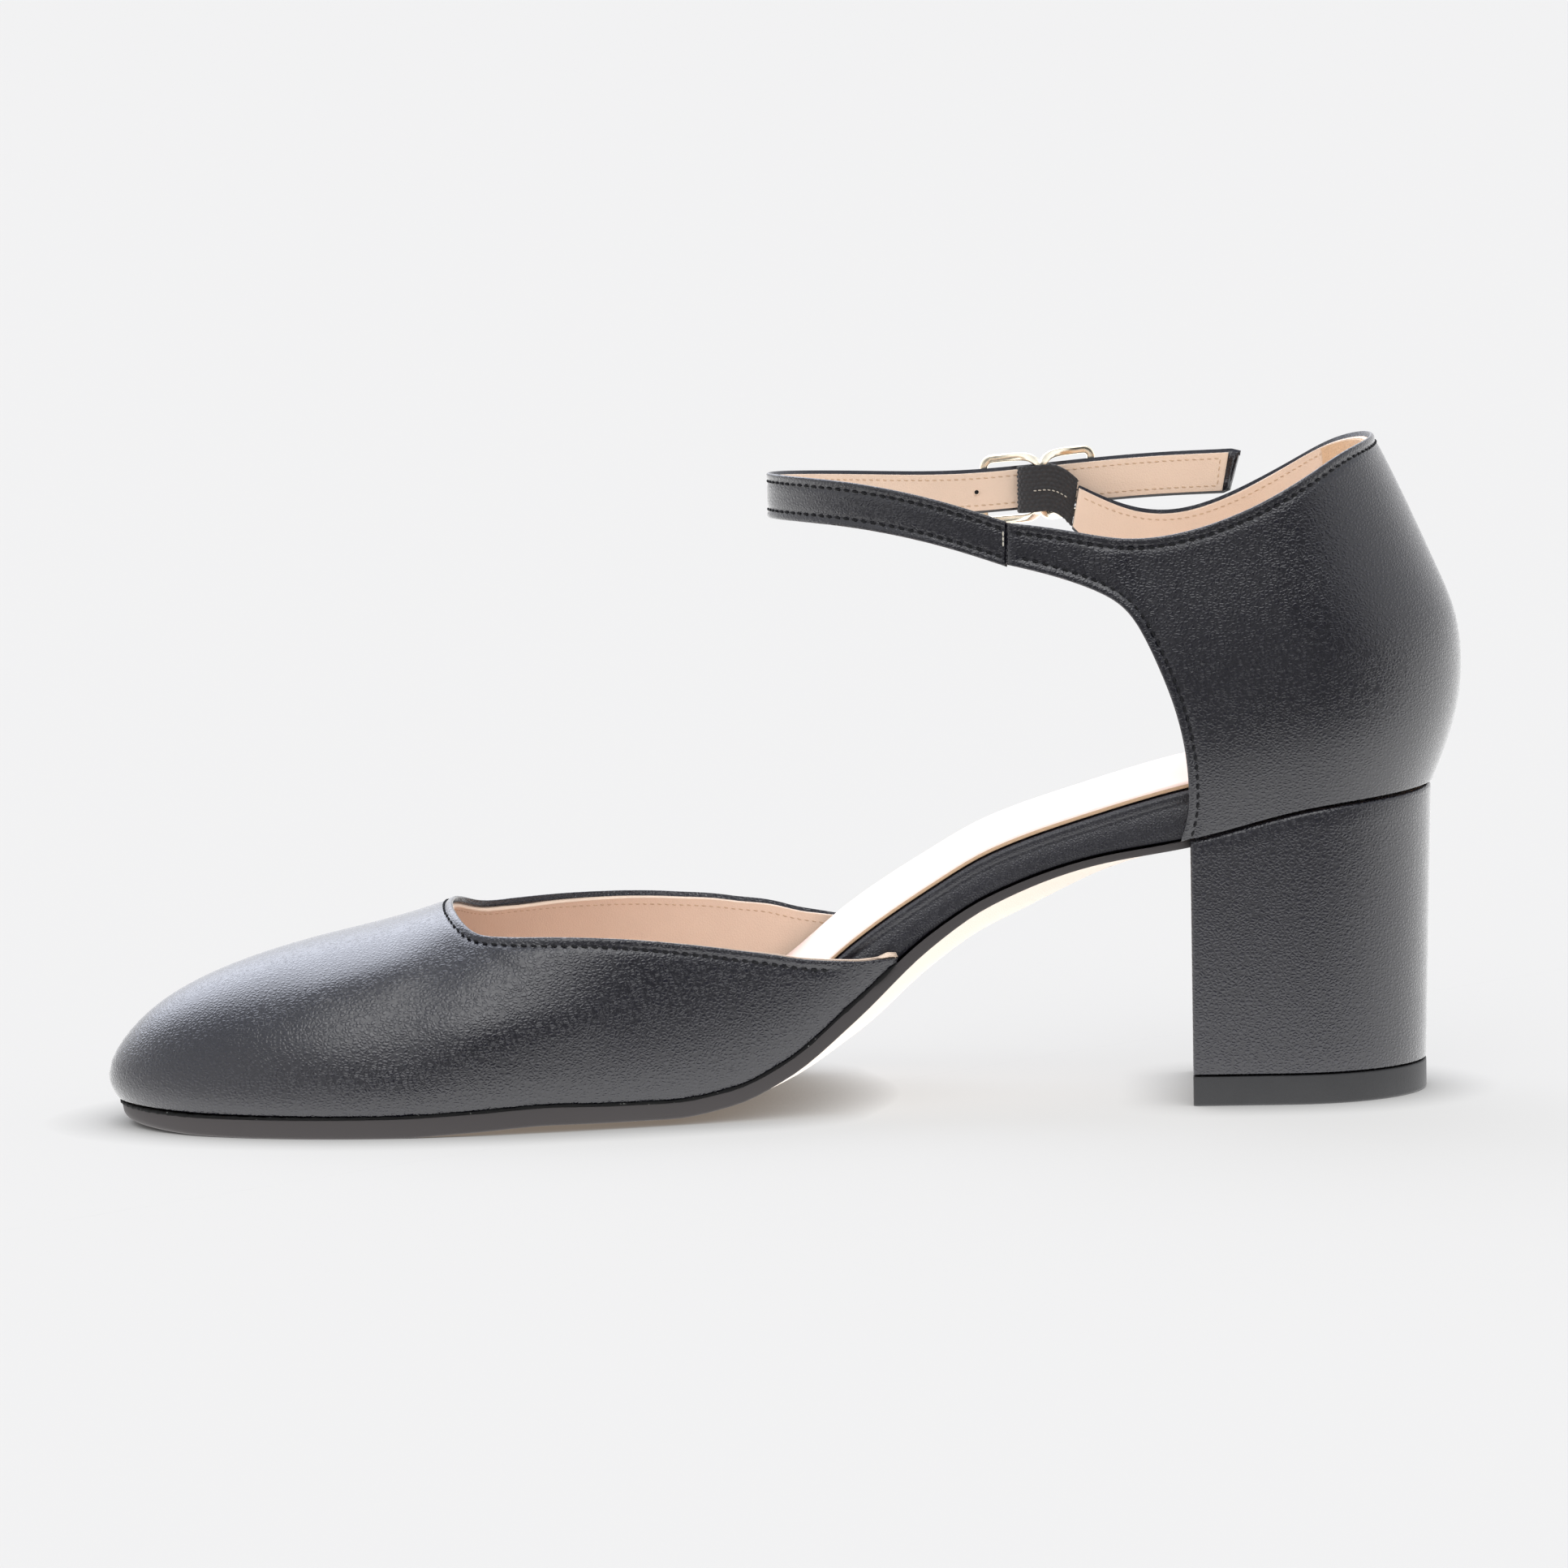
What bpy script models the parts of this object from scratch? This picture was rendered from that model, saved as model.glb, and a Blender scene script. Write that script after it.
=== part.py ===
"""A right-foot d'Orsay pump with a covered block heel and a buckled ankle strap.

The shoe stands empty on its forefoot tread and its top lift. The toe points to -X, the medial side faces
-Y and the lateral side, with the buckle, faces +Y. Stations count forward from the back of the heel and y
counts from the heel's own centre line, negative to the medial side. Tables are in millimetres.
"""

import math

import bmesh
import bpy
import numpy as np
from mathutils import Matrix, Vector

MM = 0.001

# Driving dimensions, in millimetres
MID_STATION = 119.7         # middle of the shoe's length
MID_Y = -3.65               # middle of the shoe's width
GAP = 0.3                   # clearance between pieces that meet
WALL = 1.9                  # upper: leather, stiffener and lining together
TUCK = 1.6                  # how far the upper's wall bulges over its feather edge
TUCK_RISE = 5.0             # height over which that bulge builds up
SOCK_THICKNESS = 1.2
SOCK_INSET = 0.8
BOARD_INSET = WALL + 2 * GAP

HEEL_SEAT_STATION = 30.0    # where the round back of the heel turns into the sides
HEEL_BACK_STATION = 4.7
HEEL_HALF_WIDTH = 24.2
TOE_STATION = 238.4         # tip of the feather edge
TOE_Y = -12.5
BALL_STATION = 186.0        # medial end of the round toe
BALL_LAG = 20.0             # the lateral ball joint lies this much further back
LAG_START = 60.0
TOE_TAPER = 0.15            # narrows the round toe towards an almond
MEDIAL_TOE_SLOPE = -0.04    # slope of each side where the round toe begins
LATERAL_TOE_SLOPE = -0.22

BREAST_STATION = 48.7       # front face of the heel block
BLOCK_INSET = 0.1           # the counter overhangs the block by this much
LIFT_HEIGHT = 5.2
LIFT_HALF_WIDTH = 21.4
LIFT_PROUD = 0.2
HEEL_LEAN = 1.3             # the block's back runs forward by this much down to the floor

STRAP_WIDTH = 8.0
STRAP_THICKNESS = 1.8
STRAP_TIP_WIDTH = 7.0
STRAP_TIP_ROWS = 0.12       # the tip narrows over this much of the line's last row
STRAP_HOLE_RADIUS = 1.0
STRAP_HOLE_STATIONS = (75.0, 84.6)
HOLE_CUT_DEPTH = 6.0
BUCKLE_STATION = 73.2       # centre bar
BUCKLE_HALF_LENGTH = 9.8
BUCKLE_HALF_HEIGHT = 5.6
BUCKLE_PINCH = 1.6          # the rails draw in by this much at the centre bar
BUCKLE_DIP = 3.2            # half length of the rails' dip to the centre bar
DIP_POWER, PINCH_POWER = 1.5, 5     # how sharply the rails dip, and how near the bar they draw in
BUCKLE_CORNER = 1.6
BUCKLE_WIRE = 0.7           # radius of the frame
BAR_WIRE = 0.6              # radius of the centre bar
PRONG_WIRE = 0.55
ELASTIC_THICKNESS = 0.8
ELASTIC_WIDTH = 8.4
ELASTIC_DROP = 3.4          # how far the elastic falls from the bar to the arm's end
DROP_POWER = 2.2            # how late along its length it falls
END_BAR_DEPTH = STRAP_THICKNESS / 2 + GAP + BUCKLE_WIRE
CENTRE_BAR_DEPTH = -(STRAP_THICKNESS / 2 + ELASTIC_THICKNESS + 2 * GAP + BAR_WIRE)

# Feather edge between the heel and the round toe: station, y
MEDIAL_EDGE = ((30, -24.2), (55, -23.6), (80, -23.0), (105, -25.0), (130, -30.4), (155, -37.2), (186, -42.4))
LATERAL_EDGE = ((30, 24.2), (55, 24.0), (80, 24.8), (105, 28.4), (128, 32.6), (148, 35.0), (166, 33.8))

# Side profile: station, footbed (top of the board), bed (top of the sole), tread (under the sole)
PROFILE = (
    (0, 63.0, 55.3, 53.8),
    (25, 60.9, 53.0, 51.8),
    (48, 56.6, 47.7, 46.4),
    (66, 51.6, 44.5, 43.1),
    (84, 45.3, 38.2, 36.3),
    (95, 39.0, 31.4, 28.8),
    (108, 30.3, 20.2, 16.9),
    (120, 20.2, 10.3, 7.4),
    (130, 12.8, 5.7, 2.9),
    (141, 8.0, 4.1, 1.2),
    (152, 7.3, 4.2, 1.2),
    (162, 7.5, 4.5, 1.3),
    (176, 7.0, 3.9, 0.6),
    (190, 6.5, 3.4, 0.0),
    (222, 6.5, 3.3, 0.0),
    (238.4, 7.2, 3.8, 0.8),
    (245, 7.6, 4.2, 1.2),
)
# How far the underside bellies below its edges: station, drop
CROWN = ((49, 0.0), (60, 2.6), (80, 6.0), (100, 6.2), (118, 3.6), (136, 0.0))
# How far the sole stands out from the feather edge: station, margin
SOLE_MARGIN = ((49, -1.3), (90, -1.3), (112, 0.5), (222, 0.6), (239, -0.9))

# Sections of the last under the vamp: medial station, ridge station, ridge y, ridge z, squareness, taper
VAMP_SECTIONS = (
    (92.0, 92.0, 0.5, 97.0, 2.4, 0.0),
    (120.0, 120.0, -1.0, 77.0, 2.4, 0.0),
    (143.0, 145.0, -3.0, 58.0, 2.4, 0.0),
    (160.0, 166.0, -5.5, 43.8, 2.35, 0.0),
    (170.0, 184.5, -8.0, 35.9, 2.25, 0.02),
    (176.5, 203.0, -9.5, 31.5, 2.15, 0.05),
    (181.0, 219.5, -11.0, 26.7, 2.1, 0.09),
    (184.0, 232.5, -12.0, 19.6, 2.0, 0.12),
    (185.5, 239.6, -12.3, 10.4, 2.0, 0.14),
    (186.0, 238.4, -12.5, 4.6, 2.0, 0.15),
)
# Top edge of the vamp seen from the side, tail to throat: station, medial z, lateral z
VAMP_TOPLINE = (
    (100.4, 27.4, 27.4),
    (112.8, 28.0, 29.1),
    (124.0, 29.8, 31.4),
    (136.0, 31.8, 33.0),
    (149.0, 33.4, 34.0),
    (163.0, 34.0, 34.4),
    (171.0, 34.0, 34.4),
    (175.7, 35.0, 35.2),
    (179.0, 37.6, 37.6),
)
VAMP_TAIL_HEIGHT = 0.4
VAMP_SIDE_SHARE = 0.54      # share of the feather edge that lies behind the round toe
FEATHER_PACE = 0.62         # columns start at this share of their mean pace along the feather edge
TOPLINE_CROWDING = 2.2      # columns crowd towards the middle of the throat

# The counter over the heel seat: rise, back station, half width, length of the round back
COUNTER_LEVELS = (
    (0, 4.7, 24.2, 25.3),
    (6, 2.2, 26.0, 27.3),
    (13, 0.0, 27.8, 29.5),
    (21, -0.8, 28.9, 31.0),
    (30, 0.3, 29.2, 31.0),
    (38, 3.3, 28.7, 30.0),
    (48, 7.6, 27.4, 28.0),
    (56, 11.2, 26.5, 26.0),
    (63, 14.6, 26.0, 24.0),
    (70, 18.2, 25.6, 22.0),
)
# Top edge of the counter, back seam to arm end: station, z
MEDIAL_TOPLINE = (
    (14.6, 117.2), (20, 115.7), (26, 112.6), (37.5, 106.6), (49, 102.7), (60, 101.7), (70, 103.3), (80.4, 104.8),
)
LATERAL_TOPLINE = (
    (14.6, 117.2), (20, 114.9), (26.5, 111.0), (38, 104.8), (49.5, 101.5), (57.5, 102.5), (66, 106.2),
)
# Front edge of the counter, arm end to heel seat: station, z
MEDIAL_FRONT = (
    (80.4, 97.4), (72, 95.2), (64, 92.2), (58.6, 88.0), (54.6, 80.5), (51.3, 71.8), (49.3, 62.5), (49.0, 53.5),
    (50.3, 47.9),
)
LATERAL_FRONT = (
    (67.4, 98.3), (64, 94.6), (60.0, 90.6), (55.4, 85.6), (51.2, 79.0), (48.2, 71.5), (46.8, 62.5), (47.2, 53.5),
    (48.6, 47.9),
)
TOP_CORNER_SHARE = 0.64     # share of the topline that faces the front edge

# Middle line of the strap, medial arm to free end: station, y, z
STRAP_LINE = (
    (80.8, -25.0, 101.1),
    (93.0, -23.8, 105.0),
    (106.0, -19.0, 107.5),
    (116.5, -10.5, 108.1),
    (121.2, 0.5, 107.8),
    (116.8, 11.5, 107.0),
    (106.5, 20.0, 106.0),
    (94.0, 25.0, 105.2),
    (83.5, 27.4, 105.2),
    (73.2, 28.6, 105.9),
    (62.0, 29.4, 106.8),
    (50.0, 29.9, 107.5),
    (37.6, 30.2, 107.8),
)
# Loop of the elastic about the centre bar: towards the free end, outwards from the bar
ELASTIC_LOOP = ((5.4, 0.6), (2.6, 1.15), (-1.4, 1.3), (-3.7, 0.0), (-1.4, -1.3), (2.6, -1.15), (5.4, -0.6))
ELASTIC_END_SLANT = 1.2
# The prong, from its strap hole to over the front bar: towards the free end, outwards from the strap
PRONG_LINE = ((-1.7, -0.5), (-1.8, 0.7), (-2.8, 2.0), (-6.2, 3.1), (-9.6, 3.45), (-11.2, 3.4))

# Mesh density: segments along and across each piece
HEEL_ROWS, SIDE_ROWS, TOE_ROWS, ACROSS_ROWS = 8, 24, 12, 6
VAMP_COLUMNS, VAMP_ROWS = 48, 10
FRONT_COLUMNS, BACK_COLUMNS, COUNTER_ROWS = 13, 11, 10
STRAP_COLUMNS, STRAP_ROWS = 56, 2
ELASTIC_COLUMNS, RAIL_POINTS, HOLE_SIDES = 24, 16, 16

# Finishes: colour, roughness, metallic
FINISHES = {
    "black_leather": ((0.017, 0.017, 0.019), 0.45, 0.0),
    "pale_sock": ((0.78, 0.62, 0.55), 0.6, 0.0),
    "sole_edge": ((0.03, 0.028, 0.027), 0.5, 0.0),
    "black_rubber": ((0.02, 0.02, 0.021), 0.6, 0.0),
    "black_elastic": ((0.012, 0.012, 0.013), 0.9, 0.0),
    "pale_gold": ((0.80, 0.72, 0.56), 0.22, 1.0),
}
MEDIAL, LATERAL = -1, 1
SETTLING_STEPS = 40         # rounds of halving or of settling a value
NUDGE = 1e-3                # step along a line for its direction
MERGE = 0.02                # points this close are one
ROW_CLEARANCE = 0.4         # share of a row's length that a cut row keeps clear of the next one
SHARP_ANGLE = math.radians(40)


class Spline:
    """A natural cubic through rows, the first column its parameter and the others its values."""

    def __init__(self, rows, start_slope=None, end_slope=None):
        table = np.array(rows, float)
        self.at, self.values = table[:, 0], table[:, 1:]
        count, step = len(self.at), np.diff(self.at)
        rise = np.diff(self.values, axis=0) / step[:, None]
        system, right = np.eye(count), np.zeros_like(self.values)
        for i in range(1, count - 1):
            system[i, i - 1:i + 2] = step[i - 1], 2 * (step[i - 1] + step[i]), step[i]
            right[i] = 6 * (rise[i] - rise[i - 1])
        if start_slope is not None:
            system[0, :2] = 2 * step[0], step[0]
            right[0] = 6 * (rise[0] - start_slope)
        if end_slope is not None:
            system[-1, -2:] = step[-1], 2 * step[-1]
            right[-1] = 6 * (end_slope - rise[-1])
        self.bend = np.linalg.solve(system, right)

    def __call__(self, at):
        i = int(np.clip(np.searchsorted(self.at, at) - 1, 0, len(self.at) - 2))
        step = self.at[i + 1] - self.at[i]
        b = float(np.clip((at - self.at[i]) / step, 0, 1))
        a = 1 - b
        cubic = (a ** 3 - a) * self.bend[i] + (b ** 3 - b) * self.bend[i + 1]
        return a * self.values[i] + b * self.values[i + 1] + cubic * step ** 2 / 6


class Profile:
    """A cubic through rows that never overshoots, so that a flat stretch of the table stays flat."""

    def __init__(self, rows):
        table = np.array(rows, float)
        self.at, self.values = table[:, 0], table[:, 1:]
        step = np.diff(self.at)[:, None]
        rise = np.diff(self.values, axis=0) / step
        self.slope = np.zeros_like(self.values)
        self.slope[0], self.slope[-1] = rise[0], rise[-1]
        before, after = rise[:-1], rise[1:]
        turning = before * after <= 0
        near, far = 2 * step[1:] + step[:-1], step[1:] + 2 * step[:-1]
        weighted = near * np.where(turning, 1, after) + far * np.where(turning, 1, before)
        self.slope[1:-1] = np.where(turning, 0, (near + far) * before * after / weighted)

    def __call__(self, at):
        i = int(np.clip(np.searchsorted(self.at, at) - 1, 0, len(self.at) - 2))
        step = self.at[i + 1] - self.at[i]
        t = float(np.clip((at - self.at[i]) / step, 0, 1))
        start, end = self.values[i], self.values[i + 1]
        turn = (t ** 3 - 2 * t ** 2 + t) * self.slope[i] + (t ** 3 - t ** 2) * self.slope[i + 1]
        return start + (end - start) * (3 * t ** 2 - 2 * t ** 3) + turn * step


def numbered(rows):
    """Rows with their own number put in front, as a spline's parameter."""
    return [(i, *row) for i, row in enumerate(rows)]


medial_edge = Spline(MEDIAL_EDGE, 0.0, MEDIAL_TOE_SLOPE)
lateral_edge = Spline(LATERAL_EDGE, 0.0, LATERAL_TOE_SLOPE)
profile = Profile(PROFILE)
crown = Profile(CROWN)
sole_margin = Profile(SOLE_MARGIN)
vamp_sections = Spline(numbered(VAMP_SECTIONS))
vamp_topline = Spline(VAMP_TOPLINE)
counter_levels = Spline(COUNTER_LEVELS)
strap_line = Spline(numbered(STRAP_LINE))
LAST_SECTION = len(VAMP_SECTIONS) - 1
STRAP_END = len(STRAP_LINE) - 1
TAIL_STATION, THROAT_STATION = VAMP_TOPLINE[0][0], VAMP_TOPLINE[-1][0]


def place(point):
    """A point (station, y, z) of the shoe in the scene, in metres."""
    station, y, z = point
    return Vector((MID_STATION - station, y - MID_Y, z)) * MM


def footbed(station):
    return profile(station)[0]


def bed(station):
    return profile(station)[1]


def tread(station):
    return profile(station)[2]


def bisect(low, high, falls_short):
    """The value between low and high where falls_short turns false."""
    for _ in range(SETTLING_STEPS):
        middle = (low + high) / 2
        low, high = (middle, high) if falls_short(middle) else (low, middle)
    return (low + high) / 2


# Plan of the last

def side_point(side, station):
    """The feather edge between heel and toe, at the medial station of a pair that faces across the foot."""
    if side == MEDIAL:
        return np.array([station, medial_edge(station)[0]])
    share = max(0.0, (station - LAG_START) / (BALL_STATION - LAG_START))
    across = station - BALL_LAG * share ** 2
    return np.array([across, lateral_edge(across)[0]])


def half_round(start, end, tip, angle, squareness=2.0, taper=0.0):
    """A half oval from start to end by way of tip, at an angle from 0 to pi."""
    middle, half = (start + end) / 2, (end - start) / 2
    up = abs(math.sin(angle)) ** (2 / squareness)
    along = abs(math.cos(angle)) ** (2 / squareness) * (1 - taper * up)
    return middle - half * math.copysign(along, math.cos(angle)) + (tip - middle) * up


def edge_point(side, share):
    """The feather edge by heel (share 0 to 1), side (1 to 2) and toe (2 to 3)."""
    if 1 <= share <= 2:
        return side_point(side, HEEL_SEAT_STATION + (BALL_STATION - HEEL_SEAT_STATION) * (share - 1))
    if share < 1:
        ends = [np.array([HEEL_SEAT_STATION, s * HEEL_HALF_WIDTH]) for s in (MEDIAL, LATERAL)]
        tip, angle, taper = np.array([HEEL_BACK_STATION, 0.0]), math.pi / 2 * (1 - share), 0.0
    else:
        ends = [side_point(s, BALL_STATION) for s in (MEDIAL, LATERAL)]
        tip, angle, taper = np.array([TOE_STATION, TOE_Y]), math.pi / 2 * (share - 2), TOE_TAPER
    return half_round(*ends, tip, angle if side == MEDIAL else math.pi - angle, taper=taper)


def edge_offset(side, share, margin):
    """The feather edge moved outwards by margin."""
    along = edge_point(side, min(3.0, share + NUDGE)) - edge_point(side, max(0.0, share - NUDGE))
    outward = np.array([-along[1], along[0]]) * side
    return edge_point(side, share) + outward / np.linalg.norm(outward) * margin


def share_at(station):
    """The share along the feather edge of a medial station between heel and toe."""
    return 1 + (station - HEEL_SEAT_STATION) / (BALL_STATION - HEEL_SEAT_STATION)


def rows_between(start, end):
    """Shares along the edge from start to end, for the rows of a slab."""
    heel = [i / HEEL_ROWS for i in range(HEEL_ROWS)]
    sides = [1 + i / SIDE_ROWS for i in range(SIDE_ROWS)]
    toe = [2 + i / TOE_ROWS for i in range(TOE_ROWS)]
    clear = ROW_CLEARANCE / SIDE_ROWS
    return [start] + [s for s in heel + sides + toe if start + clear < s < end - clear] + [end]


# Last under the vamp

def vamp_surface(section, angle):
    """The vamp's outer surface at a section of the table and an angle from medial (0) to lateral (pi)."""
    medial_station, ridge_station, ridge_y, ridge_z, squareness, taper = vamp_sections(section)
    ends = [side_point(s, min(medial_station, BALL_STATION)) for s in (MEDIAL, LATERAL)]
    station, y = half_round(*ends, np.array([ridge_station, ridge_y]), angle, squareness, taper)
    height = max(0.0, ridge_z - bed(ridge_station) - GAP)
    rise = height * abs(math.sin(angle)) ** (2 / squareness)
    bulge = TUCK * (1 - math.exp(-rise / TUCK_RISE)) * math.cos(angle)
    return np.array([station, y - bulge, bed(station) + GAP + rise])


def side_angle(side, angle):
    return angle if side == MEDIAL else math.pi - angle


def vamp_place(side, station, z):
    """The (section, angle) of the vamp's point that shows at a station and a height on one side."""
    def angle_at(section):
        found = bisect(0.0, math.pi / 2, lambda a: vamp_surface(section, side_angle(side, a))[2] < z)
        return side_angle(side, found)

    section = bisect(0.0, LAST_SECTION, lambda s: vamp_surface(s, angle_at(s))[0] < station)
    return np.array([section, angle_at(section)])


def vamp_top_edge(side, share):
    """The (section, angle) along the vamp's top edge, from the tail (0) to the throat (1)."""
    if share >= 1:
        ridge = bisect(0.0, LAST_SECTION - 2, lambda s: vamp_surface(s, math.pi / 2)[0] < THROAT_STATION)
        return np.array([ridge, math.pi / 2])
    station = THROAT_STATION - (THROAT_STATION - TAIL_STATION) * (1 - share) ** TOPLINE_CROWDING
    medial_z, lateral_z = vamp_topline(station)
    lowest = bed(station) + GAP + VAMP_TAIL_HEIGHT
    return vamp_place(side, station, max(medial_z if side == MEDIAL else lateral_z, lowest))


def vamp_feather_edge(side, share):
    """The (section, angle) along the vamp's feather edge, from the tail (0) to the tip of the toe (1)."""
    eased = share * (FEATHER_PACE + (1 - FEATHER_PACE) * share)
    if eased >= VAMP_SIDE_SHARE:
        angle = math.pi / 2 * (eased - VAMP_SIDE_SHARE) / (1 - VAMP_SIDE_SHARE)
        return np.array([LAST_SECTION, side_angle(side, angle)])
    foot = side_angle(side, 0.0)
    end = side_point(side, BALL_STATION)[0]
    station = TAIL_STATION + (end - TAIL_STATION) * eased / VAMP_SIDE_SHARE
    return np.array([bisect(0.0, LAST_SECTION, lambda s: vamp_surface(s, foot)[0] < station), foot])


def vamp_columns(count):
    """The foot and the top of each column as (section, angle), from the medial tail round to the lateral one."""
    columns = []
    for i in range(count + 1):
        side = MEDIAL if i <= count / 2 else LATERAL
        share = 1 - abs(2 * i / count - 1)
        columns.append((vamp_feather_edge(side, share), vamp_top_edge(side, share)))
    return columns


# Heel cup of the counter

def seat(station):
    """The heel seat under the counter, run on in a straight line ahead of the heel."""
    slope = bed(BREAST_STATION) - bed(BREAST_STATION - 1)
    return bed(min(station, BREAST_STATION)) + slope * max(0.0, station - BREAST_STATION)


def counter_surface(turn, rise):
    """The counter's outer surface: turn about the heel from the back seam (medial negative), rise over the seat."""
    back, half_width, length = counter_levels(rise)
    if abs(turn) < math.pi / 2:
        station, y = back + length * (1 - math.cos(turn)), half_width * math.sin(turn)
    else:
        station, y = back + length * (1 + abs(turn) - math.pi / 2), math.copysign(half_width, turn)
    return np.array([station, y, seat(station) + rise])


def counter_place(side, station, z):
    """The (turn, rise) of the counter's point at a station and a height on one side."""
    rise = z - seat(station)
    back, _, length = counter_levels(rise)
    forward = max(0.0, (station - back) / length)
    turn = math.acos(1 - forward) if forward < 1 else math.pi / 2 + forward - 1
    return np.array([side * turn, rise])


def counter_top(turn, topline):
    """The (turn, rise) of the counter's top edge at a turn about the heel."""
    rise = COUNTER_LEVELS[-2][0]
    for _ in range(SETTLING_STEPS):
        station = counter_surface(turn, rise)[0]
        rise = topline(station)[0] - seat(station)
    return np.array([turn, rise])


def counter_half(side, front_rows, top_rows):
    """The foot and the top of each column as (turn, rise), from the arm's end to the back seam."""
    front, topline = Spline(numbered(front_rows)), Spline(top_rows)
    arm_end, back = top_rows[-1][0], top_rows[0][0]
    columns = []
    for i in range(FRONT_COLUMNS):
        share = i / FRONT_COLUMNS
        foot = counter_place(side, *front((len(front_rows) - 1) * share))
        station = arm_end + (back - arm_end) * TOP_CORNER_SHARE * share
        columns.append((foot, counter_place(side, station, topline(station)[0])))
    corner = arm_end + (back - arm_end) * TOP_CORNER_SHARE
    top_turn = counter_place(side, corner, topline(corner)[0])[0]
    foot_turn = counter_place(side, *front_rows[-1])[0]
    for i in range(BACK_COLUMNS + 1):
        share = 1 - i / BACK_COLUMNS
        columns.append((np.array([foot_turn * share, GAP]), counter_top(top_turn * share, topline)))
    return columns


def counter_columns():
    medial = counter_half(MEDIAL, MEDIAL_FRONT, MEDIAL_TOPLINE)
    lateral = counter_half(LATERAL, LATERAL_FRONT, LATERAL_TOPLINE)
    return medial + lateral[-2::-1]


# Strap and buckle

def strap_frame(at):
    """The strap's middle, its direction, and the outward and upward directions across it, at a row number."""
    along = strap_line(min(STRAP_END, at + NUDGE)) - strap_line(max(0.0, at - NUDGE))
    along /= np.linalg.norm(along)
    outward = np.array([along[1], -along[0], 0.0])
    outward /= np.linalg.norm(outward)
    return strap_line(at), along, outward, np.array([0.0, 0.0, 1.0])


def strap_at(station):
    """The row number where the lateral run of the strap passes a station."""
    front = max(range(len(STRAP_LINE)), key=lambda i: STRAP_LINE[i][0])
    return bisect(front, STRAP_END, lambda at: strap_line(at)[0] > station)


def strap_surface(along_share, across_share):
    at = STRAP_END * along_share
    middle, _, outward, up = strap_frame(at)
    rounding = max(0.0, 1 - (STRAP_END - at) / STRAP_TIP_ROWS)
    width = STRAP_WIDTH + (STRAP_TIP_WIDTH - STRAP_WIDTH) * rounding
    return middle + outward * STRAP_THICKNESS / 2 + up * width * (across_share - 0.5)


def buckle_point(along, depth, height):
    """A point beside the strap at the buckle: towards the free end, outwards and upwards."""
    middle, direction, outward, up = strap_frame(strap_at(BUCKLE_STATION))
    return middle + direction * along + outward * depth + up * height


def rail_point(along, side):
    """A point of the buckle's rail, which dips inwards to the centre bar and draws in there."""
    dip = math.exp(-abs(along / BUCKLE_DIP) ** DIP_POWER)
    depth = END_BAR_DEPTH + (CENTRE_BAR_DEPTH - END_BAR_DEPTH) * dip
    return buckle_point(along, depth, side * (BUCKLE_HALF_HEIGHT - BUCKLE_PINCH * dip ** PINCH_POWER))


def elastic_surface(along_share, across_share):
    """The outer face of the elastic's loop about the centre bar."""
    last = len(ELASTIC_LOOP) - 1
    loop = Spline(numbered(ELASTIC_LOOP))
    at = along_share * last
    along = loop(min(last, at + NUDGE)) - loop(max(0.0, at - NUDGE))
    outward = np.array([along[1], -along[0]]) / np.linalg.norm(along)
    towards_end, depth = loop(at) + outward * ELASTIC_THICKNESS / 2
    near_arm = max(0.0, loop(at)[0]) / ELASTIC_LOOP[0][0]
    towards_end += ELASTIC_END_SLANT * across_share * near_arm
    height = ELASTIC_WIDTH * (across_share - 0.5) - ELASTIC_DROP * near_arm ** DROP_POWER
    return buckle_point(towards_end, CENTRE_BAR_DEPTH + depth, height)


# Blender objects

def finish(name):
    """The named finish as a Principled material."""
    material = bpy.data.materials.get(name)
    if material is None:
        colour, roughness, metallic = FINISHES[name]
        material = bpy.data.materials.new(name)
        material.use_nodes = True
        shader = material.node_tree.nodes["Principled BSDF"]
        shader.inputs["Base Color"].default_value = (*colour, 1)
        shader.inputs["Roughness"].default_value = roughness
        shader.inputs["Metallic"].default_value = metallic
    return material


def add_object(name, data, collection, root, finish_name):
    """An object of the shoe, hung on its root empty."""
    obj = bpy.data.objects.new(name, data)
    obj.parent = root
    collection.objects.link(obj)
    data.materials.append(finish(finish_name))
    return obj


def mesh_from(bm, name):
    mesh = bpy.data.meshes.new(name)
    bm.to_mesh(mesh)
    bm.free()
    mesh.shade_smooth()
    mesh.set_sharp_from_angle(angle=SHARP_ANGLE)
    return mesh


def grid(columns, rows, surface):
    """A sheet of columns by rows segments, mapped by surface(column share, row share)."""
    bm = bmesh.new()
    bmesh.ops.create_grid(bm, x_segments=columns, y_segments=rows, size=1)
    for vertex in bm.verts:
        vertex.co = place(surface((vertex.co.x + 1) / 2, (vertex.co.y + 1) / 2))
    return bm


def thicken(obj, thickness):
    """Gives a sheet its wall, inwards from the outer surface."""
    solidify = obj.modifiers.new("Wall", "SOLIDIFY")
    solidify.thickness = thickness * MM
    solidify.offset = -1
    solidify.use_even_offset = True


def leaned(station, shift):
    """A station of the heel with its back moved forward by shift, and its breast left in place."""
    return station + shift * (BREAST_STATION - station) / (BREAST_STATION - HEEL_BACK_STATION)


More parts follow.
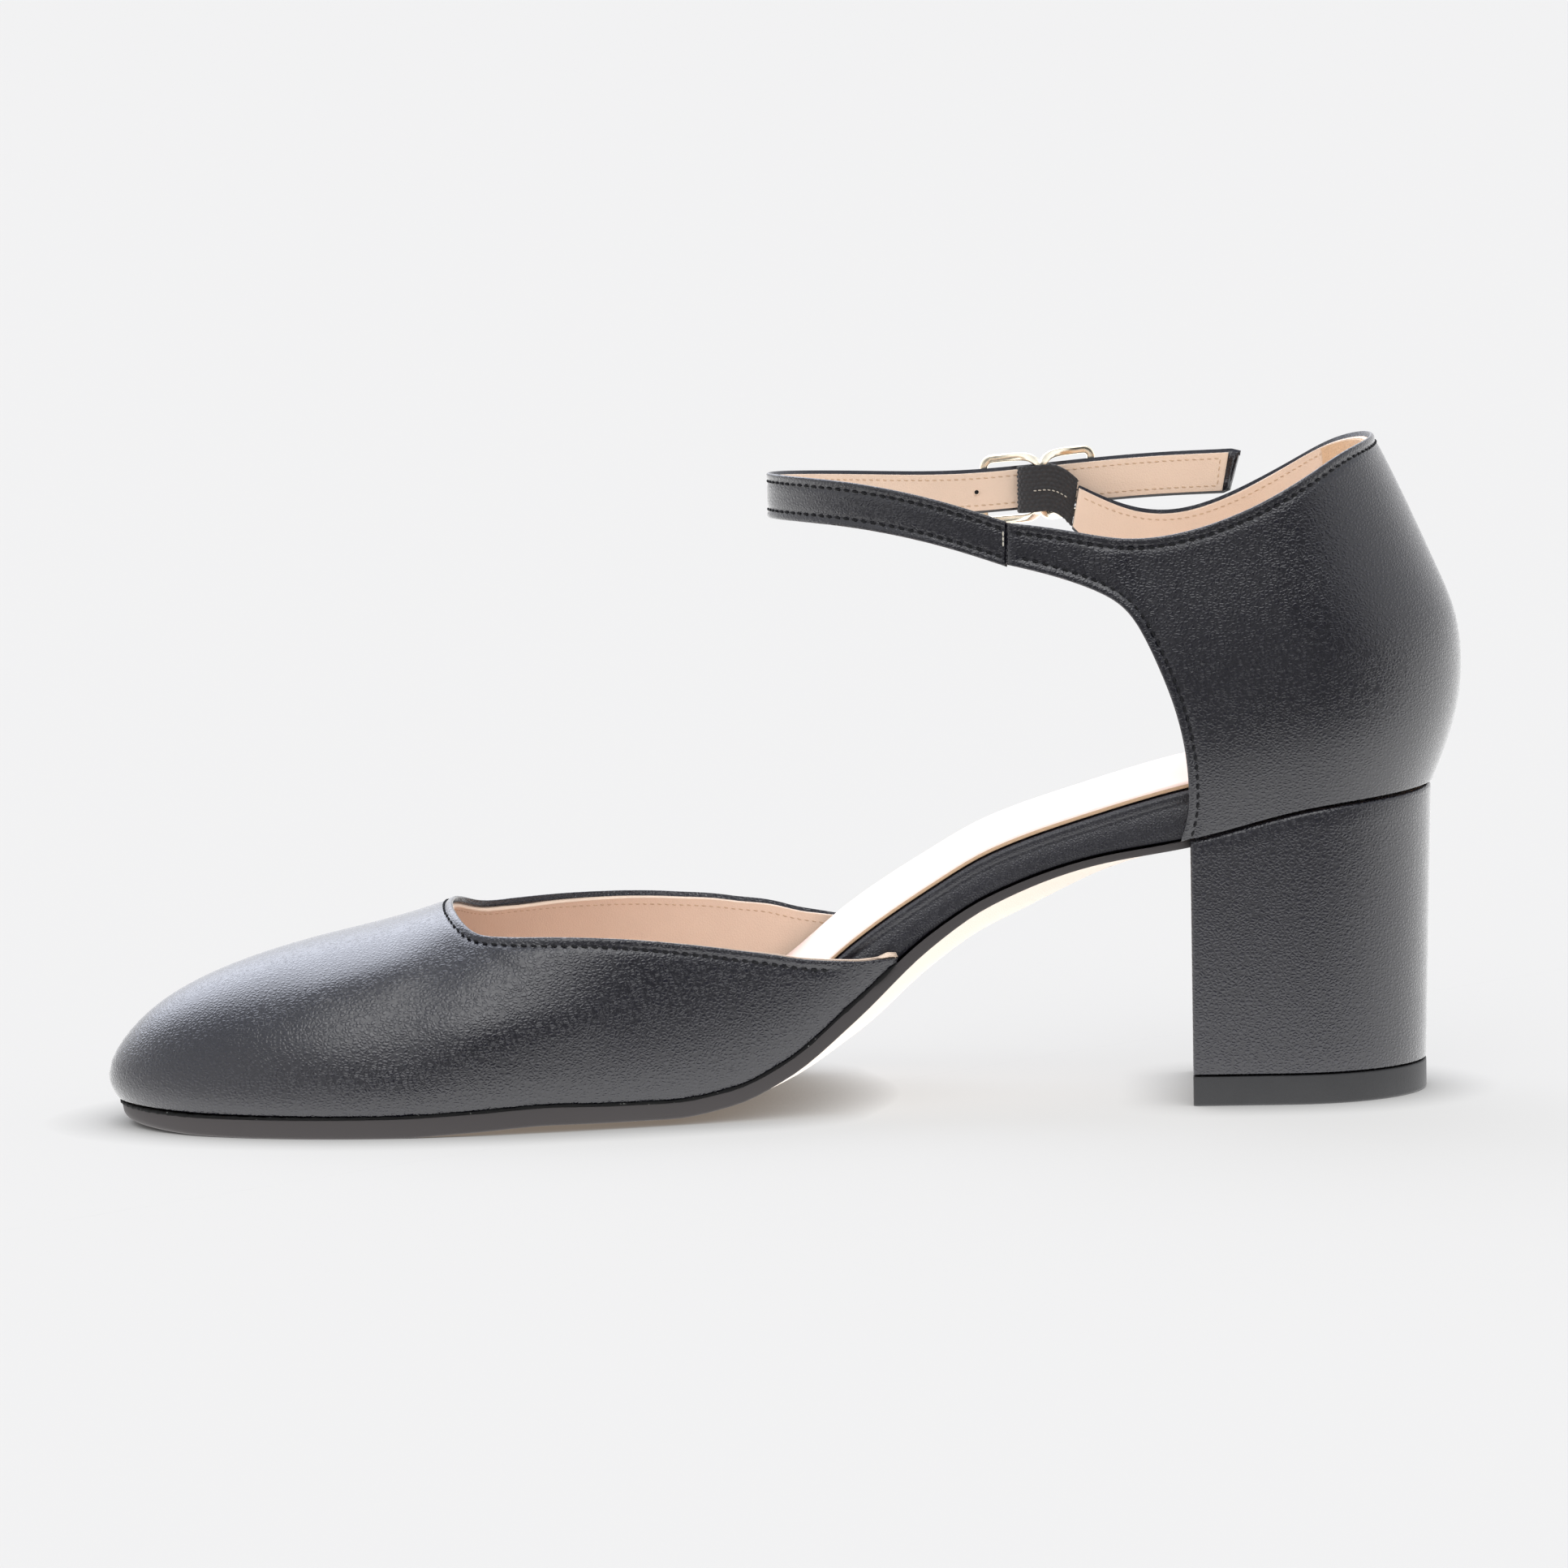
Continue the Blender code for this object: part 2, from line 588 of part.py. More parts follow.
def slab(name, shares, margin, top, bottom, narrow=(1.0, 1.0), lean=(0.0, 0.0)):
    """A solid over rows of the plan: margin(station), top and bottom(station, across from -1 to 1).

    narrow scales its width at the top and at the bottom, and lean moves the back of a heel forward there.
    """
    last = len(shares) - 1

    def sheet(row_share, across_share):
        share = shares[round(row_share * last)]
        ends = [edge_point(side, share) for side in (MEDIAL, LATERAL)]
        left, right = [edge_offset(side, share, margin(end[0])) for side, end in zip((MEDIAL, LATERAL), ends)]
        station, y = left + (right - left) * across_share
        height = top(station, 2 * across_share - 1)
        return leaned(station, lean[0]), y * narrow[0], height

    bm = bmesh.new()
    bmesh.ops.create_grid(bm, x_segments=last, y_segments=ACROSS_ROWS, size=1)
    across = bm.verts.layers.float.new("across")
    for vertex in bm.verts:
        vertex[across] = vertex.co.y
        vertex.co = place(sheet((vertex.co.x + 1) / 2, (vertex.co.y + 1) / 2))
    bmesh.ops.remove_doubles(bm, verts=bm.verts, dist=MERGE * MM)
    made = bmesh.ops.extrude_face_region(bm, geom=bm.faces[:], use_keep_orig=True)
    for vertex in made["geom"]:
        if isinstance(vertex, bmesh.types.BMVert):
            station = MID_STATION - vertex.co.x / MM
            y = (vertex.co.y / MM + MID_Y) * narrow[1] / narrow[0]
            height = bottom(station, vertex[across])
            vertex.co = place((leaned(station, lean[1] - lean[0]), y, height))
    bmesh.ops.recalc_face_normals(bm, faces=bm.faces)
    return mesh_from(bm, name)


def tube(name, points, radius, cyclic=False):
    """A wire through points, as a curve."""
    curve = bpy.data.curves.new(name, "CURVE")
    curve.dimensions = "3D"
    curve.bevel_depth = radius * MM
    curve.bevel_resolution = 2
    curve.use_fill_caps = not cyclic
    spline = curve.splines.new("POLY")
    spline.points.add(len(points) - 1)
    spline.use_cyclic_u = cyclic
    for point, position in zip(spline.points, points):
        point.co = (*place(position), 1)
    return curve


def tube_mesh(name, points, radius, cyclic=False):
    """The same wire as a closed mesh, for a Boolean."""
    curve = tube(name, points, radius, cyclic)
    guide = bpy.data.objects.new(name + "_guide", curve)
    bpy.context.scene.collection.objects.link(guide)
    graph = bpy.context.evaluated_depsgraph_get()
    mesh = bpy.data.meshes.new_from_object(guide.evaluated_get(graph))
    bpy.data.objects.remove(guide)
    bm = bmesh.new()
    bm.from_mesh(mesh)
    bmesh.ops.remove_doubles(bm, verts=bm.verts, dist=MERGE * MM)
    bmesh.ops.recalc_face_normals(bm, faces=bm.faces)
    bpy.data.meshes.remove(mesh)
    return mesh_from(bm, name)


def add_helper(name, mesh, cutters, root):
    """A mesh that a Boolean reads and that isn't a piece of the shoe."""
    helper = bpy.data.objects.new(name, mesh)
    helper.parent = root
    helper.hide_render = True
    helper.display_type = "WIRE"
    cutters.objects.link(helper)
    return helper


def boolean(obj, operation, helper):
    modifier = obj.modifiers.new(helper.name, "BOOLEAN")
    modifier.operation = operation
    modifier.object = helper


# Pieces

def belly(station, across):
    """How far the underside bellies at a place across the sole."""
    return crown(station)[0] * (1 - across ** 2)


def make_sole(collection, root):
    """Outsole, wrapped insole board and sock, heel block and top lift."""
    whole = rows_between(0.0, 3.0)
    front = rows_between(share_at(BREAST_STATION + GAP), 3.0)
    heel = rows_between(0.0, share_at(BREAST_STATION))
    block_foot = LIFT_HALF_WIDTH / (HEEL_HALF_WIDTH - BLOCK_INSET)
    lift = (LIFT_HALF_WIDTH + LIFT_PROUD) / (HEEL_HALF_WIDTH - BLOCK_INSET)
    pieces = (
        ("outsole", "sole_edge", front, lambda s: sole_margin(s)[0],
         lambda s, a: bed(s) - belly(s, a), lambda s, a: tread(s) - belly(s, a), (1.0, 1.0)),
        ("insole_board", "black_leather", whole, lambda s: -BOARD_INSET,
         lambda s, a: footbed(s), lambda s, a: bed(s) + GAP - belly(s, a), (1.0, 1.0)),
        ("sock_lining", "pale_sock", whole, lambda s: -BOARD_INSET - SOCK_INSET,
         lambda s, a: footbed(s) + GAP + SOCK_THICKNESS, lambda s, a: footbed(s) + GAP, (1.0, 1.0)),
        ("heel_block", "black_leather", heel, lambda s: -BLOCK_INSET,
         lambda s, a: bed(s), lambda s, a: LIFT_HEIGHT + GAP, (1.0, block_foot), (0.0, HEEL_LEAN)),
        ("top_lift", "black_rubber", heel, lambda s: -BLOCK_INSET,
         lambda s, a: LIFT_HEIGHT, lambda s, a: 0.0, (lift, lift), (HEEL_LEAN, HEEL_LEAN)),
    )
    for name, finish_name, *shape in pieces:
        add_object(name, slab(name, *shape), collection, root, finish_name)


def make_upper(collection, root):
    """The vamp and the heel counter, each one wall over its part of the last."""
    def sheet(ends, surface, rows):
        def surface_at(column_share, row_share):
            foot, top = ends[round(column_share * (len(ends) - 1))]
            return surface(*(foot + (top - foot) * row_share))

        return grid(len(ends) - 1, rows, surface_at)

    vamp = sheet(vamp_columns(VAMP_COLUMNS), vamp_surface, VAMP_ROWS)
    bmesh.ops.reverse_faces(vamp, faces=vamp.faces)
    counter = sheet(counter_columns(), counter_surface, COUNTER_ROWS)
    for name, bm in (("vamp", vamp), ("heel_counter", counter)):
        thicken(add_object(name, mesh_from(bm, name), collection, root, "black_leather"), WALL)


def make_strap(collection, cutters, root):
    """The ankle strap with its punched holes."""
    bm = grid(STRAP_COLUMNS, STRAP_ROWS, strap_surface)
    bmesh.ops.reverse_faces(bm, faces=bm.faces)
    strap = add_object("ankle_strap", mesh_from(bm, "ankle_strap"), collection, root, "black_leather")
    thicken(strap, STRAP_THICKNESS)
    for i, station in enumerate(STRAP_HOLE_STATIONS):
        middle, along, outward, up = [Vector(v) for v in strap_frame(strap_at(station))]
        mirrored = [Vector((-v.x, v.y, v.z)) for v in (along, up, outward)]
        turn = Matrix(mirrored).transposed().to_quaternion().to_matrix().to_4x4()
        bm = bmesh.new()
        bmesh.ops.create_cone(
            bm, cap_ends=True, segments=HOLE_SIDES, radius1=STRAP_HOLE_RADIUS * MM, radius2=STRAP_HOLE_RADIUS * MM,
            depth=HOLE_CUT_DEPTH * MM, matrix=Matrix.Translation(place(middle)) @ turn)
        helper = add_helper(f"strap_hole_{i + 1}", mesh_from(bm, "strap_hole"), cutters, root)
        boolean(strap, "DIFFERENCE", helper)


def make_buckle(collection, cutters, root):
    """The buckle's waved frame with its centre bar, its prong, and the elastic that holds it."""
    loop = []
    for side in (1, -1):
        for i in range(RAIL_POINTS + 1):
            share = 2 * i / RAIL_POINTS - 1
            loop.append(rail_point(side * share * (BUCKLE_HALF_LENGTH - BUCKLE_CORNER), side))
        corner = BUCKLE_HALF_HEIGHT - BUCKLE_CORNER
        loop.append(buckle_point(side * BUCKLE_HALF_LENGTH, END_BAR_DEPTH, side * corner))
        loop.append(buckle_point(side * BUCKLE_HALF_LENGTH, END_BAR_DEPTH, -side * corner))
    frame_mesh = tube_mesh("buckle_frame", loop, BUCKLE_WIRE, True)
    frame = add_object("buckle_frame", frame_mesh, collection, root, "pale_gold")
    reach = BUCKLE_HALF_HEIGHT - BUCKLE_PINCH
    bar = [buckle_point(0.0, CENTRE_BAR_DEPTH, height) for height in (-reach, reach)]
    boolean(frame, "UNION", add_helper("centre_bar", tube_mesh("centre_bar", bar, BAR_WIRE), cutters, root))
    prong_line = Spline(numbered(PRONG_LINE))
    last = len(PRONG_LINE) - 1
    prong = [buckle_point(*prong_line(i / 2), 0.0) for i in range(2 * last + 1)]
    add_object("buckle_prong", tube("buckle_prong", prong, PRONG_WIRE), collection, root, "pale_gold")
    loop_mesh = mesh_from(grid(ELASTIC_COLUMNS, 1, elastic_surface), "elastic_gore")
    thicken(add_object("elastic_gore", loop_mesh, collection, root, "black_elastic"), ELASTIC_THICKNESS)


def main():
    for obj in list(bpy.data.objects):
        bpy.data.objects.remove(obj)
    shoe = bpy.data.collections.new("dorsay_pump")
    cutters = bpy.data.collections.new("dorsay_pump_cutters")
    for collection in (shoe, cutters):
        bpy.context.scene.collection.children.link(collection)
    root = bpy.data.objects.new("dorsay_pump_root", None)
    shoe.objects.link(root)
    make_sole(shoe, root)
    make_upper(shoe, root)
    make_strap(shoe, cutters, root)
    make_buckle(shoe, cutters, root)


main()
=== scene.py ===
"""Looks of a right-foot d'Orsay pump: leathers, linings, stitches, sole, heel, strap and buckle.

Stations count forward from the back of the heel, y counts from the heel's own centre line, negative to the
medial side, and z counts from the floor, all in millimetres. place() turns them into the scene's metres.
"""

import math
from bisect import bisect_left
from functools import cache

import bmesh
import bpy
import numpy as np
from mathutils import Matrix, Vector
from mathutils.kdtree import KDTree


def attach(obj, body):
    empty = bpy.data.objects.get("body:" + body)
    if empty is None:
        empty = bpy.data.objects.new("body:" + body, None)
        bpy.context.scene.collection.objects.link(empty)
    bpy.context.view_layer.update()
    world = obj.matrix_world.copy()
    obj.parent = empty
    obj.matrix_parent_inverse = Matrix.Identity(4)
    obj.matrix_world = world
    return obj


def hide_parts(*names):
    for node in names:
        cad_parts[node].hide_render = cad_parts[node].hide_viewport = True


bl_info = {
    "name": "D'Orsay pump",
    "version": (1, 0, 0),
    "blender": (4, 5, 0),
    "location": "3D View > Sidebar > Pump",
    "description": "Dresses the solids of a d'Orsay pump with leathers, linings, stitches and a studio",
    "category": "Add Mesh",
}

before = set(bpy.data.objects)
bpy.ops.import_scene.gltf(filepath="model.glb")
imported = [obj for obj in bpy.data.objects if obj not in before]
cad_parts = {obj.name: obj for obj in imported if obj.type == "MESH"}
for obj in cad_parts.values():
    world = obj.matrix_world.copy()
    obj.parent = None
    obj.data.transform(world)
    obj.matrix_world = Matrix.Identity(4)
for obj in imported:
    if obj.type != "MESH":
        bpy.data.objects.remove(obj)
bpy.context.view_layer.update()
MM = 0.001

# Driving dimensions, in millimetres
MID_STATION = 119.7         # middle of the shoe's length
MID_Y = -3.65               # middle of the shoe's width
GAP = 0.3                   # clearance between pieces that meet
WALL = 1.9                  # upper: leather, stiffener and lining together
TUCK = 1.6                  # how far the upper's wall bulges over its feather edge
TUCK_RISE = 5.0             # height over which that bulge builds up
SOCK_THICKNESS = 1.2
SOCK_INSET = 0.8
BOARD_INSET = WALL + 2 * GAP

HEEL_SEAT_STATION = 30.0    # where the round back of the heel turns into the sides
HEEL_BACK_STATION = 4.7
HEEL_HALF_WIDTH = 24.2
TOE_STATION = 238.4         # tip of the feather edge
TOE_Y = -12.5
BALL_STATION = 186.0        # medial end of the round toe
BALL_LAG = 20.0             # the lateral ball joint lies this much further back
LAG_START = 60.0
TOE_TAPER = 0.15            # narrows the round toe towards an almond
MEDIAL_TOE_SLOPE = -0.04    # slope of each side where the round toe begins
LATERAL_TOE_SLOPE = -0.22

BREAST_STATION = 48.7       # front face of the heel block
BLOCK_INSET = 0.1           # the counter overhangs the block by this much
LIFT_HEIGHT = 5.2
LIFT_HALF_WIDTH = 21.4
LIFT_PROUD = 0.2
HEEL_LEAN = 1.3             # the block's back runs forward by this much down to the floor

STRAP_WIDTH = 8.0
STRAP_THICKNESS = 1.8
STRAP_TIP_WIDTH = 7.0
STRAP_TIP_ROWS = 0.12       # the tip narrows over this much of the line's last row
SPARE_HOLE_STATION = 84.6
BUCKLE_STATION = 73.2       # centre bar
BUCKLE_HALF_LENGTH = 9.8
BUCKLE_HALF_HEIGHT = 5.6
BUCKLE_PINCH = 1.6          # the rails draw in by this much at the centre bar
BUCKLE_DIP = 3.2            # half length of the rails' dip to the centre bar
DIP_POWER, PINCH_POWER = 1.5, 5     # how sharply the rails dip, and how near the bar they draw in
BUCKLE_CORNER = 1.6
BUCKLE_WIRE = 0.7           # radius of the frame
BAR_WIRE = 0.6              # radius of the centre bar
PRONG_WIRE = 0.55
ELASTIC_THICKNESS = 0.8
ELASTIC_WIDTH = 8.4
ELASTIC_DROP = 3.4          # how far the elastic falls from the bar to the arm's end
DROP_POWER = 2.2            # how late along its length it falls
END_BAR_DEPTH = STRAP_THICKNESS / 2 + GAP + BUCKLE_WIRE
CENTRE_BAR_DEPTH = -(STRAP_THICKNESS / 2 + ELASTIC_THICKNESS + 2 * GAP + BAR_WIRE)

# Feather edge between the heel and the round toe: station, y
MEDIAL_EDGE = ((30, -24.2), (55, -23.6), (80, -23.0), (105, -25.0), (130, -30.4), (155, -37.2), (186, -42.4))
LATERAL_EDGE = ((30, 24.2), (55, 24.0), (80, 24.8), (105, 28.4), (128, 32.6), (148, 35.0), (166, 33.8))

# Side profile: station, footbed (top of the board), bed (top of the sole), tread (under the sole)
PROFILE = (
    (0, 63.0, 55.3, 53.8),
    (25, 60.9, 53.0, 51.8),
    (48, 56.6, 47.7, 46.4),
    (66, 51.6, 44.5, 43.1),
    (84, 45.3, 38.2, 36.3),
    (95, 39.0, 31.4, 28.8),
    (108, 30.3, 20.2, 16.9),
    (120, 20.2, 10.3, 7.4),
    (130, 12.8, 5.7, 2.9),
    (141, 8.0, 4.1, 1.2),
    (152, 7.3, 4.2, 1.2),
    (162, 7.5, 4.5, 1.3),
    (176, 7.0, 3.9, 0.6),
    (190, 6.5, 3.4, 0.0),
    (222, 6.5, 3.3, 0.0),
    (238.4, 7.2, 3.8, 0.8),
    (245, 7.6, 4.2, 1.2),
)
# How far the underside bellies below its edges: station, drop
CROWN = ((49, 0.0), (60, 2.6), (80, 6.0), (100, 6.2), (118, 3.6), (136, 0.0))
# How far the sole stands out from the feather edge: station, margin
SOLE_MARGIN = ((49, -1.3), (90, -1.3), (112, 0.5), (222, 0.6), (239, -0.9))

# Sections of the last under the vamp: medial station, ridge station, ridge y, ridge z, squareness, taper
VAMP_SECTIONS = (
    (92.0, 92.0, 0.5, 97.0, 2.4, 0.0),
    (120.0, 120.0, -1.0, 77.0, 2.4, 0.0),
    (143.0, 145.0, -3.0, 58.0, 2.4, 0.0),
    (160.0, 166.0, -5.5, 43.8, 2.35, 0.0),
    (170.0, 184.5, -8.0, 35.9, 2.25, 0.02),
    (176.5, 203.0, -9.5, 31.5, 2.15, 0.05),
    (181.0, 219.5, -11.0, 26.7, 2.1, 0.09),
    (184.0, 232.5, -12.0, 19.6, 2.0, 0.12),
    (185.5, 239.6, -12.3, 10.4, 2.0, 0.14),
    (186.0, 238.4, -12.5, 4.6, 2.0, 0.15),
)
# Top edge of the vamp seen from the side, tail to throat: station, medial z, lateral z
VAMP_TOPLINE = (
    (100.4, 27.4, 27.4),
    (112.8, 28.0, 29.1),
    (124.0, 29.8, 31.4),
    (136.0, 31.8, 33.0),
    (149.0, 33.4, 34.0),
    (163.0, 34.0, 34.4),
    (171.0, 34.0, 34.4),
    (175.7, 35.0, 35.2),
    (179.0, 37.6, 37.6),
)
VAMP_TAIL_HEIGHT = 0.4
VAMP_SIDE_SHARE = 0.54      # share of the feather edge that lies behind the round toe
FEATHER_PACE = 0.62         # columns start at this share of their mean pace along the feather edge
TOPLINE_CROWDING = 2.2      # columns crowd towards the middle of the throat

# The counter over the heel seat: rise, back station, half width, length of the round back
COUNTER_LEVELS = (
    (0, 4.7, 24.2, 25.3),
    (6, 2.2, 26.0, 27.3),
    (13, 0.0, 27.8, 29.5),
    (21, -0.8, 28.9, 31.0),
    (30, 0.3, 29.2, 31.0),
    (38, 3.3, 28.7, 30.0),
    (48, 7.6, 27.4, 28.0),
    (56, 11.2, 26.5, 26.0),
    (63, 14.6, 26.0, 24.0),
    (70, 18.2, 25.6, 22.0),
)
# Top edge of the counter, back seam to arm end: station, z
MEDIAL_TOPLINE = (
    (14.6, 117.2), (20, 115.7), (26, 112.6), (37.5, 106.6), (49, 102.7), (60, 101.7), (70, 103.3),
    (80.4, 104.8),
)
LATERAL_TOPLINE = (
    (14.6, 117.2), (20, 114.9), (26.5, 111.0), (38, 104.8), (49.5, 101.5), (57.5, 102.5), (66, 106.2),
)
# Front edge of the counter, arm end to heel seat: station, z
MEDIAL_FRONT = (
    (80.4, 97.4), (72, 95.2), (64, 92.2), (58.6, 88.0), (54.6, 80.5), (51.3, 71.8), (49.3, 62.5),
    (49.0, 53.5), (50.3, 47.9),
)
LATERAL_FRONT = (
    (67.4, 98.3), (64, 94.6), (60.0, 90.6), (55.4, 85.6), (51.2, 79.0), (48.2, 71.5), (46.8, 62.5),
    (47.2, 53.5), (48.6, 47.9),
)
TOP_CORNER_SHARE = 0.8      # share of the topline that faces the front edge
COUNTER_BOW = 1.6           # its columns bow back by this turn, so that they leave the front edge freely

# Middle line of the strap, medial arm to free end: station, y, z
STRAP_LINE = (
    (80.8, -25.0, 101.1),
    (93.0, -23.8, 105.0),
    (106.0, -19.0, 107.5),
    (116.5, -10.5, 108.1),
    (121.2, 0.5, 107.8),
    (116.8, 11.5, 107.0),
    (106.5, 20.0, 106.0),
    (94.0, 25.0, 105.2),
    (83.5, 27.4, 105.2),
    (73.2, 28.6, 105.9),
    (62.0, 29.4, 106.8),
    (50.0, 29.9, 107.5),
    (37.6, 30.2, 107.8),
)
# Loop of the elastic about the centre bar: towards the free end, outwards from the bar
ELASTIC_LOOP = ((5.4, 0.6), (2.6, 1.15), (-1.4, 1.3), (-3.7, 0.0), (-1.4, -1.3), (2.6, -1.15), (5.4, -0.6))
ELASTIC_END_SLANT = 1.2
ELASTIC_RUN = 20.5          # length of the loop
# The prong, from its strap hole to over the front bar: towards the free end, outwards from the strap
PRONG_LINE = ((-1.7, -0.5), (-1.8, 0.7), (-2.8, 2.0), (-6.2, 3.1), (-9.6, 3.45), (-11.2, 3.4))

# Stitches and small forms
STITCH_SHARE = 0.66         # share of the pitch that a stitch covers
STITCH_SLANT = 0.12
STRAP_ROOT = 0.05           # the strap runs on into its arm by this share of a row
TIP_SLANT = 0.020           # the free end leans by this share of a row a millimetre
TIP_CURL = 1.0              # how far the strap's top corner curls outwards at its free end
TIP_CURL_ROWS = 0.5
TOE_ROUNDING = 3.6          # the outsole's lower edge grows rounder by this factor towards the toe
ROUNDED_FROM = 196.0
BREAST_CORNER = 0.7         # radius of the heel block's front corners
SOLE_EDGES = (0.5, 0.2)     # radii of the lower and the upper edge
BOARD_EDGES = (0.2, 0.9)
SOCK_EDGES = (0.15, 0.85)
BLOCK_EDGES = (0.35, 0.9)
LIFT_EDGES = (0.5, 0.3)
BOARD_LIP = ((0.0, 1.0, -2.6), (0.28, 1.0, -2.2), (0.10, 1.0, -1.8))    # groove below the board's rounded lip
GRIP_SHARE = 0.8            # share of the counter's back columns that the heel grip covers

ROLL_STEP = 0.1             # spacing of the points that stand for an edge when it is rolled
GROOVE_WIDTH = 0.62         # half width of the groove that stitches pull
PUFF_WIDTH = 0.62           # half width of the puffed edge
PUFF_SHARE = 0.42           # its place between the edge and the stitches
LINING_PROUD = 0.25         # the vamp's lining stands above its medial edge by this much
PROUD_END, PROUD_FADE = 0.27, 0.14      # where that ends, and how fast, as shares of the topline
FRONT_DROP = 1.2            # the counter's lining lies this far behind its front edge
BREAST_SLANT, BREAST_REACH = 2.0, 7.0   # the heel's breast runs back by this much towards the lateral side
SEAM_RADIUS, SEAM_MARGIN = 0.34, 0.12   # the cemented seam between vamp and outsole, whose near-black is partly painted shade of the gap
SEAM_TUCK, SEAM_TUCK_STATION = 0.9, 226.0   # it draws in at the toe by this much, from this station on
UNDERSIDE_RING = 0.6        # the edge paint reaches this far round the underside's rim
SOLE_LAP = 0.8              # the outsole runs on under the heel's cover by this much
WEAVE_ALONG, WEAVE_ACROSS, WEAVE_RELIEF = 0.88, 0.77, 0.2
WEAVE_COLUMNS, WEAVE_ROWS = 260, 90
PIERCED_RADIUS, PIERCED_RIM, PIERCED_LIFT = 0.5, 0.11, 0.06     # the strap's spare hole on the lining, its inside a black disc of painted shade
TACK_HEIGHTS = (1.7, 0.8, -0.1)         # tack stitches over the strap's middle line, at its root
TACK_HALF_LENGTH, TACK_RADIUS, TACK_LIFT = 0.42, 0.17, 0.06
ELASTIC_TACK_RUN, ELASTIC_TACK_ACROSS = (0.66, 0.92), 0.46  # shares of the elastic's length and width
ELASTIC_TACK_RADIUS, ELASTIC_TACK_LIFT = 0.12, 0.15
LINING_THREAD, LINING_SINK = 0.15, 0.03     # radius of the thread on the linings, and how deep it lies
STITCH_END_ROWS, LINING_END_ROWS = 0.12, 0.16   # stitches and lining end this far before the strap's free end
LINING_STITCH_END_ROWS = 0.25
UNSTITCHED_COLUMNS = 8      # columns at each of the vamp's tails without stitches
GRIP_THICKNESS = 0.35
RAIL_HALF_WIDTH, RAIL_HALF_DEPTH = 0.72, 0.5    # section of the buckle's frame
BAR_END_SHARE = 0.06        # the ends of its bar and its prong are rounded over this share
SEAM_POINTS = 261
SEAM_END_SHARE = 0.004      # the seam thins out over this share at both ends
SEAM_WAVES = ((0.16, 431, 0), (0.12, 1009, 1))  # its unevenness: height, pace and start of each wave

# Soft creases: height, half width, and the line's rows (station, height over the floor)
VAMP_CREASES = (
    (-0.34, 4.6, ((178.0, 32.0), (183.0, 26.0), (187.0, 20.0), (189.0, 14.0))),
    (0.55, 6.0, ((203.0, 24.0), (196.0, 26.0), (189.0, 28.0))),
    (0.50, 5.0, ((177.0, 17.0), (170.0, 18.5), (162.0, 19.5), (156.0, 20.0))),
    (-0.16, 1.2, ((172.5, 31.6), (170.5, 29.6), (168.0, 28.4))),
    (0.12, 1.0, ((170.0, 32.0), (167.5, 30.4), (165.0, 29.8))),
)
COUNTER_CREASES = (
    (0.22, 2.4, ((62.5, 98.0), (60.0, 93.5), (57.0, 87.0))),
    (-0.20, 2.4, ((58.0, 99.0), (56.5, 92.0), (54.0, 84.0))),
)

# Studio, in metres
FLOOR_SIZE = 30.0
FLOOR_GLOW = 0.61
CONTACT_REACH = 0.014                       # how far the shadow under the sole reaches
CARD_SIZE, CARD_DEPTH = 3.0, 0.002          # the card under the floor that the shoe mirrors
CARD_NEAR, CARD_FAR, CARD_END = 2.4, 0.2, 0.9   # its light beside the shoe, in front of it and far off
CARD_FADE, CARD_RETURN = (-0.21, -0.06), (-0.9, -0.35)     # where it fades towards the camera, and returns
BRIGHT_SIDES = (1.55, 1.55, 1.57, 1.0)      # light from the sides
BRIGHT_TOP = (0.88, 0.92, 1.00, 1.0)        # light from overhead
BRIGHT_BACK = (4.5, 4.7, 5.3, 1.0)          # the lamp above and behind the toe
BACK_AXIS = (-0.25, 0.66, 0.71)
BACK_SPREAD = (0.83, 0.96)                  # cosines of a light's rim and of its middle
BRIGHT_FRONT = (4.6, 4.6, 4.65, 1.0)        # the lamp above the camera
FRONT_AXIS = (0.04, -0.61, 0.79)
FRONT_SPREAD = (0.89, 0.985)
DIM_FRONT = (0.62, 0.62, 0.63, 1.0)         # the dim room behind the camera
DIM_AXIS = (0.24, -0.967, 0.08)
DIM_SPREAD = (0.50, 0.97)
DARK_FRONT = (0.05, 0.05, 0.05, 1.0)        # and its dark corner
DARK_AXIS = (0.37, -0.92, 0.10)
DARK_SPREAD = (0.86, 0.99)
DIM_TOP = (0.34, 0.52)                      # heights between which the dim room ends
SENSOR = 36.0
CAMERA_ELEVATION, CAMERA_ROLL = 7.0, 1.0
CAMERA_DISTANCE = 2.0
FRAME_WIDTH = 1932 * 0.14458e-3     # what the image's width covers at the shoe
CAMERA_TARGET = ((MID_STATION - 120.0) * MM, -MID_Y * MM, 0.0561)
SOFTBOX_SIZE, SOFTBOX_HEIGHT, SOFTBOX_POWER = 4.0, 4.0, 8.0

# Rows of a sheet of the upper: distances from its edges, and rows spread between them
EDGE_ROWS = (0.0, 0.05, 0.15, 0.32, 0.55, 0.85, 1.15, 1.45, 1.75, 2.05, 2.4, 2.9, 3.6, 4.6)
MIDDLE_ROWS = 30
EDGE_SHARE = 0.42           # the edge rows take at most this share of a short column
VAMP_COLUMNS, VAMP_GUIDES = 220, 48
FRONT_COLUMNS, BACK_COLUMNS = 64, 72
STRAP_COLUMNS = 320
COLUMN_SAMPLES = 33         # points that measure a column of a sheet
CREASE_STEPS, STITCH_LINE_STEPS, ROUND_STEPS = 24, 200, 20
SWEEP_SIDES, STITCH_SIDES = 16, 6
RAIL_STEPS, CORNER_STEPS, BAR_STEPS, PRONG_STEPS = 32, 6, 16, 40
HEEL_ROWS, SIDE_ROWS, TOE_ROWS, ACROSS_ROWS = 20, 70, 36, 12

